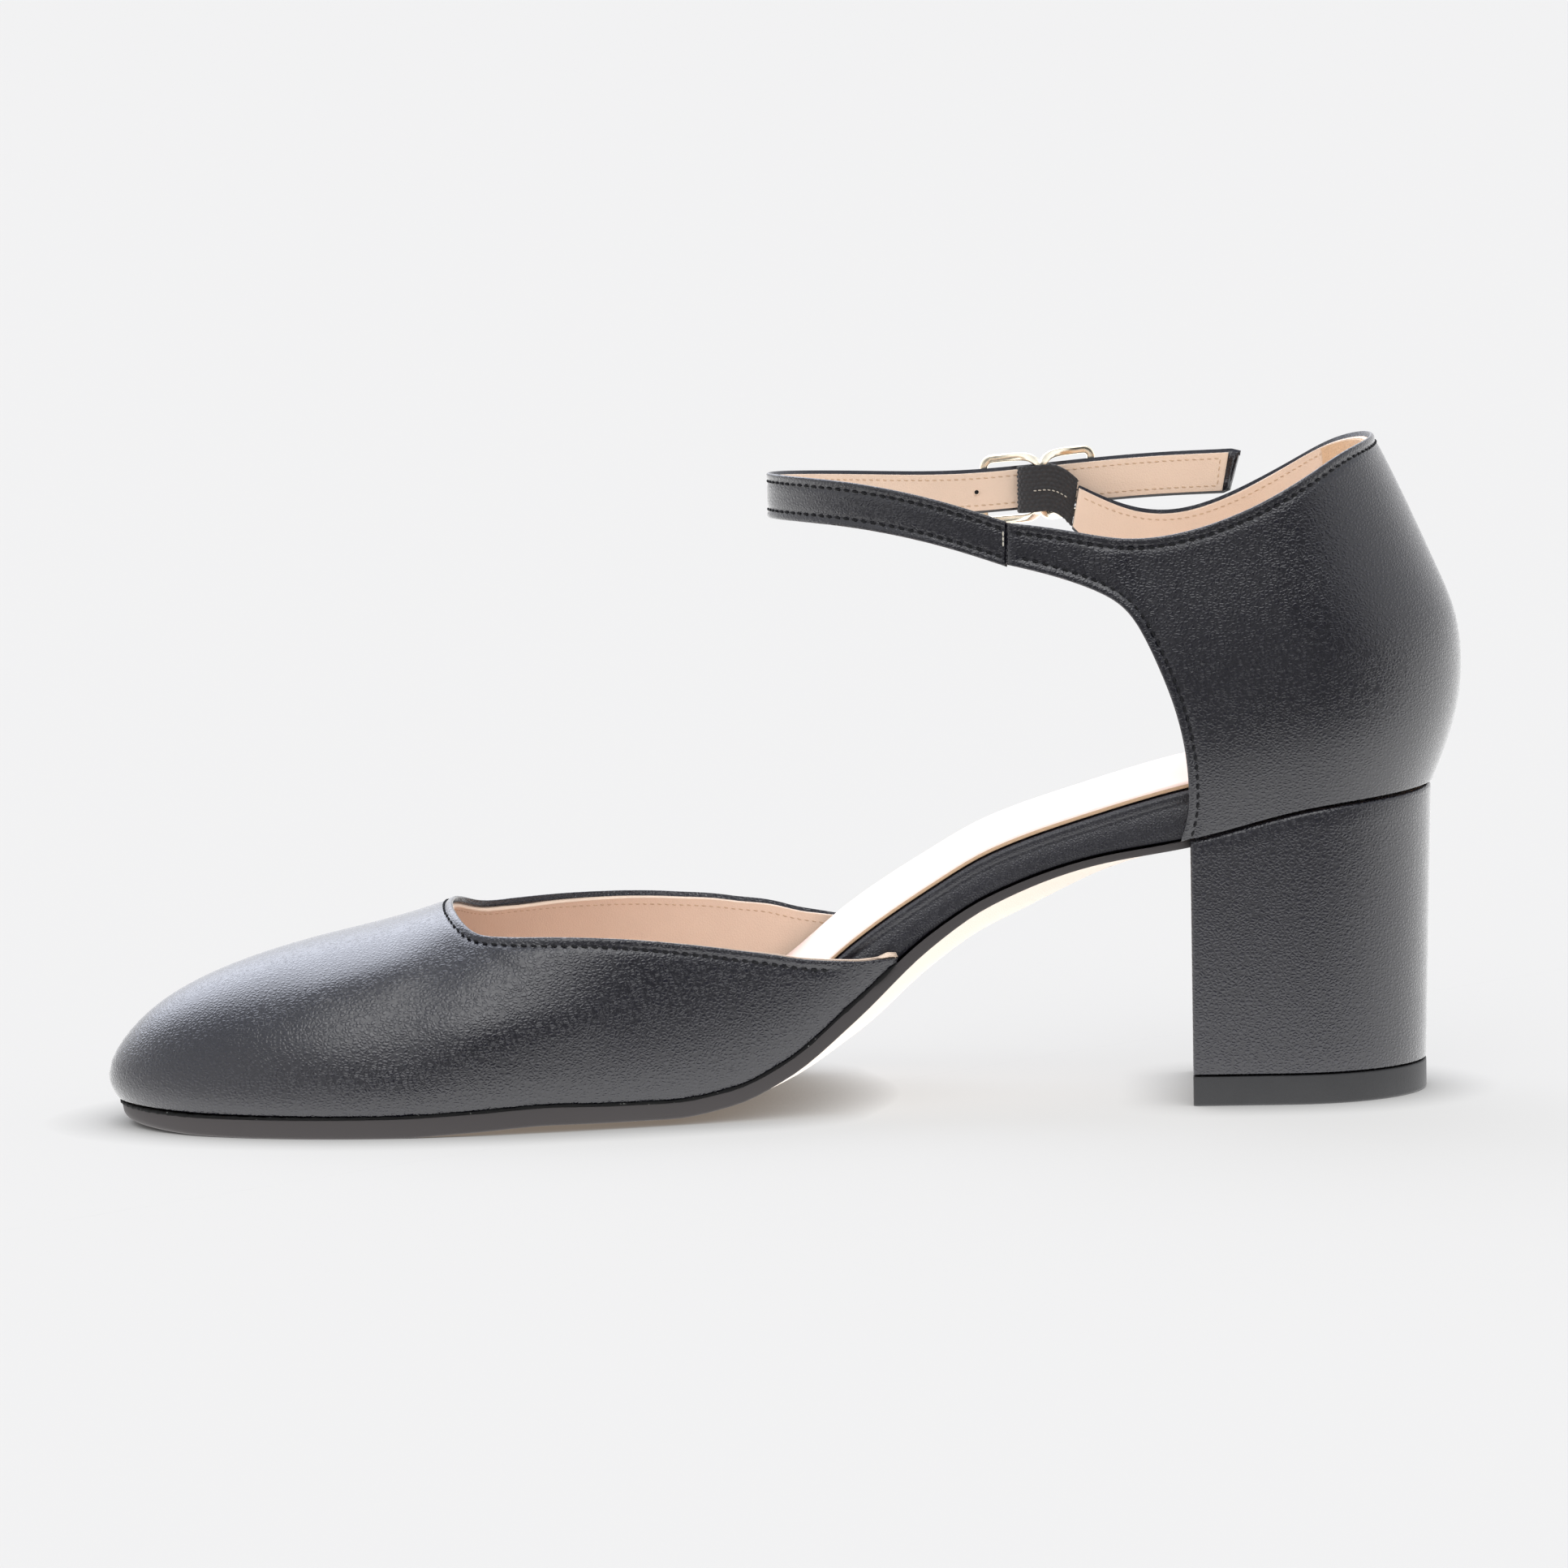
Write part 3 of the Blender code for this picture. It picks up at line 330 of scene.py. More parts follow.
MEDIAL, LATERAL = -1, 1
TOE_SHARE = 3.0             # share of the feather edge at the tip of the toe
SETTLING_STEPS = 22         # rounds of halving or of settling a value
NUDGE = 1e-3                # step along a line for its direction
MERGE = 0.02                # points this close are one


def span_of(knots, at):
    """The span of sorted knots that holds a value: its number, its length and the value's share of it."""
    i = min(max(bisect_left(knots, at) - 1, 0), len(knots) - 2)
    step = knots[i + 1] - knots[i]
    return i, step, min(max((at - knots[i]) / step, 0.0), 1.0)


class Spline:
    """A natural cubic through rows, the first column its parameter and the others its values."""

    def __init__(self, rows, start_slope=None, end_slope=None):
        table = np.array(rows, float)
        self.at, self.values = table[:, 0], table[:, 1:]
        count, step = len(self.at), np.diff(self.at)
        rise = np.diff(self.values, axis=0) / step[:, None]
        system, right = np.eye(count), np.zeros_like(self.values)
        for i in range(1, count - 1):
            system[i, i - 1:i + 2] = step[i - 1], 2 * (step[i - 1] + step[i]), step[i]
            right[i] = 6 * (rise[i] - rise[i - 1])
        if start_slope is not None:
            system[0, :2] = 2 * step[0], step[0]
            right[0] = 6 * (rise[0] - start_slope)
        if end_slope is not None:
            system[-1, -2:] = step[-1], 2 * step[-1]
            right[-1] = 6 * (end_slope - rise[-1])
        self.bend = np.linalg.solve(system, right)
        self.knots = self.at.tolist()

    def __call__(self, at):
        i, step, b = span_of(self.knots, at)
        a = 1 - b
        cubic = (a ** 3 - a) * self.bend[i] + (b ** 3 - b) * self.bend[i + 1]
        return a * self.values[i] + b * self.values[i + 1] + cubic * step ** 2 / 6


class Profile:
    """A cubic through rows that never overshoots, so that a flat stretch of the table stays flat."""

    def __init__(self, rows):
        table = np.array(rows, float)
        self.at, self.values = table[:, 0], table[:, 1:]
        step = np.diff(self.at)[:, None]
        rise = np.diff(self.values, axis=0) / step
        self.slope = np.zeros_like(self.values)
        self.slope[0], self.slope[-1] = rise[0], rise[-1]
        before, after = rise[:-1], rise[1:]
        turning = before * after <= 0
        near, far = 2 * step[1:] + step[:-1], step[1:] + 2 * step[:-1]
        weighted = near * np.where(turning, 1, after) + far * np.where(turning, 1, before)
        self.slope[1:-1] = np.where(turning, 0, (near + far) * before * after / weighted)
        self.knots = self.at.tolist()

    def __call__(self, at):
        i, step, t = span_of(self.knots, at)
        start, end = self.values[i], self.values[i + 1]
        turn = (t ** 3 - 2 * t ** 2 + t) * self.slope[i] + (t ** 3 - t ** 2) * self.slope[i + 1]
        return start + (end - start) * (3 * t ** 2 - 2 * t ** 3) + turn * step


def numbered(rows):
    """Rows with their own number put in front, as a spline's parameter."""
    return [(i, *row) for i, row in enumerate(rows)]


medial_edge = Spline(MEDIAL_EDGE, 0.0, MEDIAL_TOE_SLOPE)
lateral_edge = Spline(LATERAL_EDGE, 0.0, LATERAL_TOE_SLOPE)
profile = Profile(PROFILE)
crown = Profile(CROWN)
sole_margin = Profile(SOLE_MARGIN)
vamp_sections = Spline(numbered(VAMP_SECTIONS))
vamp_topline = Spline(VAMP_TOPLINE)
counter_levels = Spline(COUNTER_LEVELS)
strap_line = Spline(numbered(STRAP_LINE))
elastic_loop = Spline(numbered(ELASTIC_LOOP))
LAST_SECTION = len(VAMP_SECTIONS) - 1
STRAP_END = len(STRAP_LINE) - 1
STRAP_ROW = 12.4            # length of the line's last row
TAIL_STATION, THROAT_STATION = VAMP_TOPLINE[0][0], VAMP_TOPLINE[-1][0]


def place(point):
    """A point (station, y, z) of the shoe in the scene, in metres."""
    station, y, z = point
    return Vector((MID_STATION - station, y - MID_Y, z)) * MM


def footbed(station):
    return profile(station)[0]


def bed(station):
    return profile(station)[1]


def tread(station):
    return profile(station)[2]


def bisect(low, high, falls_short):
    """The value between low and high where falls_short turns false."""
    for _ in range(SETTLING_STEPS):
        middle = (low + high) / 2
        low, high = (middle, high) if falls_short(middle) else (low, middle)
    return (low + high) / 2


# Plan of the last

def side_point(side, station):
    """The feather edge between heel and toe, at the medial station of a pair that faces across the foot."""
    if side == MEDIAL:
        return np.array([station, medial_edge(station)[0]])
    share = max(0.0, (station - LAG_START) / (BALL_STATION - LAG_START))
    across = station - BALL_LAG * share ** 2
    return np.array([across, lateral_edge(across)[0]])


def half_round(start, end, tip, angle, squareness=2.0, taper=0.0):
    """A half oval from start to end by way of tip, at an angle from 0 to pi."""
    middle, half = (start + end) / 2, (end - start) / 2
    up = abs(math.sin(angle)) ** (2 / squareness)
    along = abs(math.cos(angle)) ** (2 / squareness) * (1 - taper * up)
    return middle - half * math.copysign(along, math.cos(angle)) + (tip - middle) * up


def edge_point(side, share):
    """The feather edge by heel (share 0 to 1), side (1 to 2) and toe (2 to 3)."""
    if 1 <= share <= 2:
        return side_point(side, HEEL_SEAT_STATION + (BALL_STATION - HEEL_SEAT_STATION) * (share - 1))
    if share < 1:
        ends = [np.array([HEEL_SEAT_STATION, s * HEEL_HALF_WIDTH]) for s in (MEDIAL, LATERAL)]
        tip, angle, taper = np.array([HEEL_BACK_STATION, 0.0]), math.pi / 2 * (1 - share), 0.0
    else:
        ends = [side_point(s, BALL_STATION) for s in (MEDIAL, LATERAL)]
        tip, angle, taper = np.array([TOE_STATION, TOE_Y]), math.pi / 2 * (share - 2), TOE_TAPER
    return half_round(*ends, tip, angle if side == MEDIAL else math.pi - angle, taper=taper)


@cache
def edge_offset(side, share, margin):
    """The feather edge moved outwards by margin."""
    along = edge_point(side, min(3.0, share + NUDGE)) - edge_point(side, max(0.0, share - NUDGE))
    outward = np.array([-along[1], along[0]]) * side
    return edge_point(side, share) + outward / np.linalg.norm(outward) * margin


def share_at(station):
    """The share along the feather edge of a medial station between heel and toe."""
    return 1 + (station - HEEL_SEAT_STATION) / (BALL_STATION - HEEL_SEAT_STATION)


# Last under the vamp

def vamp_surface(section, angle):
    """The vamp's outer surface at a section of the table and an angle from medial (0) to lateral (pi)."""
    medial_station, ridge_station, ridge_y, ridge_z, squareness, taper = vamp_sections(section)
    ends = [side_point(s, min(medial_station, BALL_STATION)) for s in (MEDIAL, LATERAL)]
    station, y = half_round(*ends, np.array([ridge_station, ridge_y]), angle, squareness, taper)
    height = max(0.0, ridge_z - bed(ridge_station) - GAP)
    rise = height * abs(math.sin(angle)) ** (2 / squareness)
    bulge = TUCK * (1 - math.exp(-rise / TUCK_RISE)) * math.cos(angle)
    return np.array([station, y - bulge, bed(station) + GAP + rise])


def side_angle(side, angle):
    return angle if side == MEDIAL else math.pi - angle


def vamp_place(side, station, z):
    """The (section, angle) of the vamp's point that shows at a station and a height on one side."""
    def angle_at(section):
        found = bisect(0.0, math.pi / 2, lambda a: vamp_surface(section, side_angle(side, a))[2] < z)
        return side_angle(side, found)

    section = bisect(0.0, LAST_SECTION, lambda s: vamp_surface(s, angle_at(s))[0] < station)
    return np.array([section, angle_at(section)])


def vamp_top_edge(side, share):
    """The (section, angle) along the vamp's top edge, from the tail (0) to the throat (1)."""
    if share >= 1:
        ridge = bisect(0.0, LAST_SECTION - 2, lambda s: vamp_surface(s, math.pi / 2)[0] < THROAT_STATION)
        return np.array([ridge, math.pi / 2])
    station = THROAT_STATION - (THROAT_STATION - TAIL_STATION) * (1 - share) ** TOPLINE_CROWDING
    medial_z, lateral_z = vamp_topline(station)
    lowest = bed(station) + GAP + VAMP_TAIL_HEIGHT
    return vamp_place(side, station, max(medial_z if side == MEDIAL else lateral_z, lowest))


def vamp_feather_edge(side, share):
    """The (section, angle) along the vamp's feather edge, from the tail (0) to the tip of the toe (1)."""
    eased = share * (FEATHER_PACE + (1 - FEATHER_PACE) * share)
    if eased >= VAMP_SIDE_SHARE:
        angle = math.pi / 2 * (eased - VAMP_SIDE_SHARE) / (1 - VAMP_SIDE_SHARE)
        return np.array([LAST_SECTION, side_angle(side, angle)])
    foot = side_angle(side, 0.0)
    end = side_point(side, BALL_STATION)[0]
    station = TAIL_STATION + (end - TAIL_STATION) * eased / VAMP_SIDE_SHARE
    return np.array([bisect(0.0, LAST_SECTION, lambda s: vamp_surface(s, foot)[0] < station), foot])


def vamp_columns(count):
    """Each column's foot, top and bow as (section, angle), from the medial tail round to the lateral one."""
    def ends(share):
        return (MEDIAL if share <= 0.5 else LATERAL), 1 - abs(2 * share - 1)

    guides = [(i / VAMP_GUIDES, *vamp_top_edge(*ends(i / VAMP_GUIDES))) for i in range(VAMP_GUIDES + 1)]
    tops = Spline(guides)
    return [(vamp_feather_edge(*ends(i / count)), tops(i / count), np.zeros(2)) for i in range(count + 1)]


# Heel cup of the counter

def seat(station):
    """The heel seat under the counter, run on in a straight line ahead of the heel."""
    slope = bed(BREAST_STATION) - bed(BREAST_STATION - 1)
    return bed(min(station, BREAST_STATION)) + slope * max(0.0, station - BREAST_STATION)


def counter_surface(turn, rise):
    """The counter's outer surface at a turn from the back seam (medial negative) and a rise over the seat."""
    back, half_width, length = counter_levels(rise)
    if abs(turn) < math.pi / 2:
        station, y = back + length * (1 - math.cos(turn)), half_width * math.sin(turn)
    else:
        station, y = back + length * (1 + abs(turn) - math.pi / 2), math.copysign(half_width, turn)
    return np.array([station, y, seat(station) + rise])


def counter_place(side, station, z):
    """The (turn, rise) of the counter's point at a station and a height on one side."""
    rise = z - seat(station)
    back, _, length = counter_levels(rise)
    forward = max(0.0, (station - back) / length)
    turn = math.acos(1 - forward) if forward < 1 else math.pi / 2 + forward - 1
    return np.array([side * turn, rise])


def counter_top(turn, topline):
    """The (turn, rise) of the counter's top edge at a turn about the heel."""
    rise = COUNTER_LEVELS[-2][0]
    for _ in range(SETTLING_STEPS):
        station = counter_surface(turn, rise)[0]
        rise = topline(station)[0] - seat(station)
    return np.array([turn, rise])


def counter_half(side, front_rows, top_rows):
    """Each column's foot, top and bow as (turn, rise), from the arm's end to the back seam."""
    front, topline = Spline(numbered(front_rows)), Spline(top_rows)
    arm_end, back = top_rows[-1][0], top_rows[0][0]
    bow = np.array([-side * COUNTER_BOW, 0.0])
    columns = []
    for i in range(FRONT_COLUMNS):
        share = i / FRONT_COLUMNS
        foot = counter_place(side, *front((len(front_rows) - 1) * share))
        station = arm_end + (back - arm_end) * TOP_CORNER_SHARE * share
        columns.append((foot, counter_place(side, station, topline(station)[0]), bow * share ** 2))
    corner = arm_end + (back - arm_end) * TOP_CORNER_SHARE
    top_turn = counter_place(side, corner, topline(corner)[0])[0]
    foot_turn = counter_place(side, *front_rows[-1])[0]
    for i in range(BACK_COLUMNS + 1):
        share = 1 - i / BACK_COLUMNS
        foot = np.array([foot_turn * share, GAP])
        columns.append((foot, counter_top(top_turn * share, topline), bow * share))
    return columns


def counter_columns():
    medial = counter_half(MEDIAL, MEDIAL_FRONT, MEDIAL_TOPLINE)
    lateral = counter_half(LATERAL, LATERAL_FRONT, LATERAL_TOPLINE)
    return medial + lateral[-2::-1]


# Strap and buckle

@cache
def strap_frame(at):
    """The strap's middle, its direction, and the outward and upward directions across it, at a row number."""
    along = strap_line(min(STRAP_END, at + NUDGE)) - strap_line(max(0.0, at - NUDGE))
    along /= np.linalg.norm(along)
    outward = np.array([along[1], -along[0], 0.0])
    outward /= np.linalg.norm(outward)
    return strap_line(at), along, outward, np.array([0.0, 0.0, 1.0])


@cache
def strap_at(station):
    """The row number where the lateral run of the strap passes a station."""
    front = max(range(len(STRAP_LINE)), key=lambda i: STRAP_LINE[i][0])
    return bisect(front, STRAP_END, lambda at: strap_line(at)[0] > station)


def buckle_point(along, depth, height):
    """A point beside the strap at the buckle: towards the free end, outwards and upwards."""
    middle, direction, outward, up = strap_frame(strap_at(BUCKLE_STATION))
    return middle + direction * along + outward * depth + up * height


def rail_point(along, side):
    """A point of the buckle's rail, which dips inwards to the centre bar and draws in there."""
    dip = math.exp(-abs(along / BUCKLE_DIP) ** DIP_POWER)
    depth = END_BAR_DEPTH + (CENTRE_BAR_DEPTH - END_BAR_DEPTH) * dip
    return buckle_point(along, depth, side * (BUCKLE_HALF_HEIGHT - BUCKLE_PINCH * dip ** PINCH_POWER))


def elastic_surface(along_share, across_share):
    """The outer face of the elastic's loop about the centre bar."""
    last = len(ELASTIC_LOOP) - 1
    at = along_share * last
    along = elastic_loop(min(last, at + NUDGE)) - elastic_loop(max(0.0, at - NUDGE))
    outward = np.array([along[1], -along[0]]) / np.linalg.norm(along)
    middle = elastic_loop(at)
    towards_end, depth = middle + outward * ELASTIC_THICKNESS / 2
    near_arm = max(0.0, middle[0]) / ELASTIC_LOOP[0][0]
    towards_end += ELASTIC_END_SLANT * across_share * near_arm
    height = ELASTIC_WIDTH * (across_share - 0.5) - ELASTIC_DROP * near_arm ** DROP_POWER
    return buckle_point(towards_end, CENTRE_BAR_DEPTH + depth, height)


def belly(station, across):
    """How far the underside bellies at a place across the sole."""
    return crown(station)[0] * (1 - across ** 2)


def length(name, description, default):
    """A size in millimetres that a user may change."""
    return bpy.props.FloatProperty(
        name=name, description=description, default=default * MM, min=0.0, unit="LENGTH", subtype="DISTANCE",
        precision=5)


def colour(name, description, default):
    """A colour that a user may change."""
    return bpy.props.FloatVectorProperty(
        name=name, description=description, default=default, size=3, min=0.0, max=1.0, subtype="COLOR")


class PumpSizes(bpy.types.PropertyGroup):
    """Sizes of the leathers and of the stitching."""

    leather: length("Leather", "Thickness of the outer leather", 1.05)
    lining: length("Lining", "Thickness of the lining", 0.85)
    lining_drop: length("Lining drop", "How far the lining's edge lies inside the leather's", 0.6)
    lateral_drop: length("Lateral drop", "How far it lies inside the vamp's lateral edge", 0.95)
    leather_roll: length("Edge roll", "Radius of the leather's folded edges", 0.36)
    stitch_pitch: length("Stitch pitch", "Distance between stitches on the leather", 1.8)
    stitch_inset: length("Stitch inset", "Distance of the stitches from the leather's edge", 1.7)
    strap_inset: length("Strap stitch inset", "Distance of the stitches from the strap's edges", 1.5)
    thread: length("Thread", "Radius of the stitching thread", 0.23)
    lining_pitch: length("Lining pitch", "Distance between stitches on the lining", 1.35)
    lining_inset: length("Lining stitch inset", "Distance of the stitches from the lining's edge", 0.95)
    puff: length("Edge puff", "How far the leather swells between its edge and the stitches", 0.11)
    groove: length("Stitch groove", "How deep the stitches pull into the leather", 0.24)


class PumpColours(bpy.types.PropertyGroup):
    """Colours of the finishes."""

    leather: colour("Leather", "Black grained leather", (0.0062, 0.0058, 0.0112))
    lining: colour("Lining", "Lining of the upper and the strap", (0.70, 0.545, 0.425))
    sock: colour("Sock", "Sock over the insole board", (0.43, 0.412, 0.40))
    grip: colour("Heel grip", "Suede patch inside the counter", (0.62, 0.42, 0.26))
    underside: colour("Underside", "Underside of the outsole", (0.58, 0.48, 0.40))
    edge: colour("Sole edge", "Painted edge of the outsole", (0.037, 0.039, 0.036))
    rubber: colour("Top lift", "Rubber under the heel", (0.020, 0.020, 0.021))
    elastic: colour("Elastic", "Woven elastic at the buckle", (0.012, 0.012, 0.013))
    gold: colour("Buckle", "Plating of the buckle", (0.86, 0.79, 0.64))
    thread: colour("Thread", "Thread on the leather", (0.010, 0.010, 0.011))
    lining_thread: colour("Lining thread", "Thread on the lining", (0.52, 0.37, 0.25))
    tack: colour("Tack", "Thread of the tack at the strap's root", (0.50, 0.47, 0.40))
    floor: colour("Floor", "Studio floor", (0.15, 0.146, 0.139))


def mm(name):
    """A size of the panel in millimetres."""
    return getattr(bpy.context.scene.pump_sizes, name) / MM


def tint(name):
    """A colour of the panel for a shader."""
    return (*getattr(bpy.context.scene.pump_colours, name), 1.0)


# Finishes

class Value:
    """A shader socket; sums, products and the like of values add Math nodes."""

    def __init__(self, finish, socket):
        self.finish = finish
        self.socket = socket

    def math(self, operation, first, second):
        return self.finish.node("ShaderNodeMath", {"operation": operation}, {0: first, 1: second})

    def __add__(self, other):
        return self.math("ADD", self, other)

    def __sub__(self, other):
        return self.math("SUBTRACT", self, other)

    def __rsub__(self, other):
        return self.math("SUBTRACT", other, self)

    def __mul__(self, other):
        return self.math("MULTIPLY", self, other)

    __radd__ = __add__
    __rmul__ = __mul__


class Nodes:
    """A node tree in the making."""

    def __init__(self, tree):
        self.tree = tree

    def feed(self, socket, value):
        if isinstance(value, Value):
            self.tree.links.new(value.socket, socket)
        else:
            socket.default_value = value

    def node(self, kind, settings=None, inputs=None, output=0):
        """A node of any kind: its settings are set first, then the values or links of its sockets."""
        node = self.tree.nodes.new(kind)
        for name, value in (settings or {}).items():
            setattr(node, name, value)
        for key, value in (inputs or {}).items():
            self.feed(node.inputs[key], value)
        return Value(self, node.outputs[output])

    def smooth(self, value, low, high):
        """A soft step from 0 at low to 1 at high."""
        settings = {"interpolation_type": "SMOOTHSTEP"}
        return self.node("ShaderNodeMapRange", settings, {"Value": value, "From Min": low, "From Max": high})

    def blend(self, share, first, second):
        """A colour between two others."""
        return self.node("ShaderNodeMix", {"data_type": "RGBA"}, {0: share, 6: first, 7: second}, 2)


class Finish(Nodes):
    """A material in the making, on the object's own coordinates in millimetres."""

    def __init__(self, name):
        self.material = bpy.data.materials.new(name)
        self.material.use_nodes = True
        super().__init__(self.material.node_tree)
        self.shader = self.tree.nodes["Principled BSDF"]

    def where(self, stretch=(1.0, 1.0, 1.0)):
        """Object coordinates in millimetres, stretched."""
        scale = tuple(s / MM for s in stretch)
        place_on = self.node("ShaderNodeTexCoord", output="Object")
        return self.node("ShaderNodeMapping", {}, {"Vector": place_on, "Scale": scale})

    def noise(self, where, size, detail=2.0, output=0):
        inputs = {"Vector": where, "Scale": 1.0 / size, "Detail": detail}
        return self.node("ShaderNodeTexNoise", {}, inputs, output)

    def bent(self, where, size, amount):
        """Coordinates shaken by noise."""
        shake = self.noise(where, size, 2.0, "Color")
        inputs = {0: shake, 1: (amount,) * 3, 2: where}
        return self.node("ShaderNodeVectorMath", {"operation": "MULTIPLY_ADD"}, inputs)

    def cells(self, where, size, feature="DISTANCE_TO_EDGE"):
        return self.node("ShaderNodeTexVoronoi", {"feature": feature}, {"Vector": where, "Scale": 1.0 / size})

    def shade(self, sockets):
        for name, value in sockets.items():
            self.feed(self.shader.inputs[name], value)

    def bump(self, height, depth, strength=1.0):
        inputs = {"Height": height, "Distance": depth * MM, "Strength": strength}
        self.feed(self.shader.inputs["Normal"], self.node("ShaderNodeBump", {}, inputs))


def scaled(rgba, factor):
    return (*[min(1.0, channel * factor) for channel in rgba[:3]], 1.0)


def grained_leather(name, cell, depth, roughness, stretch):
    """Black leather with a pebble grain, satin on the pebbles and duller in the valleys."""
    finish = Finish(name)
    where = finish.where(stretch)
    shaken = finish.bent(where, 1.6 * cell, 0.9 * cell)
    pebble = finish.smooth(finish.cells(shaken, cell), 0.0, 0.34)
    fine = finish.noise(where, 0.25 * cell, 3.0)
    cloud = finish.noise(where, 22.0, 2.0)
    black = tint("leather")
    finish.shade({
        "Base Color": finish.blend(pebble, scaled(black, 0.7), scaled(black, 1.15)),
        "Roughness": roughness + 0.10 * (cloud - 0.5) - 0.05 * (pebble - 0.5),
        "Specular IOR Level": 0.62,
    })
    finish.bump(pebble + fine * 0.12, depth)
    return finish.material


def lining_leather(name, rgba, roughness, mottle=0.08):
    """Thin lining leather with fine pores and a soft mottle."""
    finish = Finish(name)
    where = finish.where()
    cloud = finish.noise(where, 14.0, 3.0)
    pores = finish.smooth(finish.cells(finish.bent(where, 0.8, 0.5), 0.45), 0.0, 0.3)
    finish.shade({
        "Base Color": finish.blend(cloud, scaled(rgba, 1 - mottle), scaled(rgba, 1 + mottle)),
        "Roughness": roughness + 0.12 * (cloud - 0.5),
        "Specular IOR Level": 0.4,
    })
    finish.bump(pores * 0.6 + finish.noise(where, 3.0, 2.0) * 0.8, 0.035)
    return finish.material


def suede(name, rgba):
    """Suede with a short nap."""
    finish = Finish(name)
    where = finish.where()
    nap = finish.noise(where, 0.35, 4.0)
    brushed = finish.noise(finish.where((1.0, 1.0, 0.25)), 1.8, 3.0)
    finish.shade({
        "Base Color": finish.blend(nap * 0.6 + brushed * 0.4, scaled(rgba, 0.78), scaled(rgba, 1.2)),
        "Roughness": 0.95,
        "Specular IOR Level": 0.15,
        "Sheen Weight": 0.35,
    })
    finish.bump(nap, 0.12)
    return finish.material


def painted_edge(name, rgba, roughness):
    """Edge paint over cut leather, with faint layers along it."""
    finish = Finish(name)
    layers = finish.noise(finish.where((0.08, 0.08, 1.6)), 1.0, 3.0)
    specks = finish.noise(finish.where(), 0.5, 3.0)
    finish.shade({
        "Base Color": finish.blend(layers, scaled(rgba, 0.75), scaled(rgba, 1.5)),
        "Roughness": roughness + 0.15 * (specks - 0.5),
    })
    finish.bump(layers * 0.6 + specks * 0.5, 0.05)
    return finish.material


def cement_and_shade_seam(name):
    """Near-black cement with a few pale specks; the near-black also stands for the shade in the gap between
    vamp and outsole, a painted shade.
    """
    finish = Finish(name)
    specks = finish.smooth(finish.noise(finish.where(), 0.7, 3.0), 0.68, 0.74)
    finish.shade({
        # near-black: cement, and painted shade of the gap under the vamp's foot; the pale specks are real
        # cement
        "Base Color": finish.blend(specks, (0.003, 0.003, 0.003, 1.0), (0.16, 0.16, 0.15, 1.0)),
        "Roughness": 0.85 - 0.3 * specks,
        "Specular IOR Level": 0.2,
    })
    finish.bump(finish.noise(finish.where(), 0.4, 3.0), 0.08)
    return finish.material


def moulded_rubber(name, rgba):
    finish = Finish(name)
    where = finish.where()
    specks = finish.noise(where, 0.35, 4.0)
    cloud = finish.noise(where, 9.0, 2.0)
    finish.shade({
        "Base Color": finish.blend(cloud, scaled(rgba, 0.85), scaled(rgba, 1.3)),
        "Roughness": 0.6 + 0.14 * (specks - 0.5),
        "Specular IOR Level": 0.3,
    })
    finish.bump(specks, 0.03)
    return finish.material


def thread_finish(name, rgba):
    """Bonded thread, twisted finely."""
    finish = Finish(name)
    twist = finish.noise(finish.where((1.0, 1.0, 1.0)), 0.18, 2.0)
    finish.shade({
        "Base Color": finish.blend(twist, scaled(rgba, 0.7), scaled(rgba, 1.35)),
        "Roughness": 0.85,
        "Specular IOR Level": 0.2,
    })
    finish.bump(twist, 0.05)
    return finish.material


def plated_metal(name, rgba):
    finish = Finish(name)
    where = finish.where()
    haze = finish.noise(where, 1.2, 4.0)
    finish.shade({
        "Base Color": finish.blend(haze, scaled(rgba, 0.92), scaled(rgba, 1.06)),
        "Metallic": 1.0,
        "Roughness": 0.16 + 0.10 * haze,
    })
    finish.bump(haze, 0.01)
    return finish.material


def woven_elastic(name, rgba):
    finish = Finish(name)
    fibre = finish.noise(finish.where((1.0, 1.0, 3.0)), 0.2, 3.0)
    finish.shade({
        "Base Color": finish.blend(fibre, scaled(rgba, 0.6), scaled(rgba, 2.2)),
        "Roughness": 0.78 + 0.15 * (fibre - 0.5),
        "Sheen Weight": 0.2,
    })
    finish.bump(fibre, 0.06)
    return finish.material


def finish_named(name):
    """The material of that name, made when it is first asked for."""
    makers = {
        "upper_leather": lambda: grained_leather(name, 0.8, 0.04, 0.28, (1.0, 1.0, 1.4)),
        "strap_leather": lambda: grained_leather(name, 0.75, 0.04, 0.30, (1.0, 1.0, 1.3)),
        "board_leather": lambda: grained_leather(name, 0.55, 0.03, 0.36, (1.0, 1.0, 1.0)),
        "heel_leather": lambda: grained_leather(name, 0.8, 0.04, 0.30, (1.0, 1.0, 1.3)),
        "lining_leather": lambda: lining_leather(name, tint("lining"), 0.55),
        "sock_leather": lambda: lining_leather(name, tint("sock"), 0.38, 0.04),
        "sock_edge": lambda: lining_leather(name, scaled(tint("grip"), 0.7), 0.7),
        "suede": lambda: suede(name, tint("grip")),
        "sole_edge": lambda: painted_edge(name, tint("edge"), 0.42),
        "sole_underside": lambda: lining_leather(name, tint("underside"), 0.5, 0.05),
        "raw_edge": lambda: painted_edge(name, (0.12, 0.075, 0.055, 1.0), 0.7),
        "cement_and_shade_seam": lambda: cement_and_shade_seam(name),
        "lift_rubber": lambda: moulded_rubber(name, tint("rubber")),
        "black_thread": lambda: thread_finish(name, tint("thread")),
        "lining_thread": lambda: thread_finish(name, tint("lining_thread")),
        "tack_thread": lambda: thread_finish(name, tint("tack")),
        "gold_plate": lambda: plated_metal(name, tint("gold")),
        "elastic_weave": lambda: woven_elastic(name, tint("elastic")),
    }
    return bpy.data.materials.get(name) or makers[name]()


# Meshes

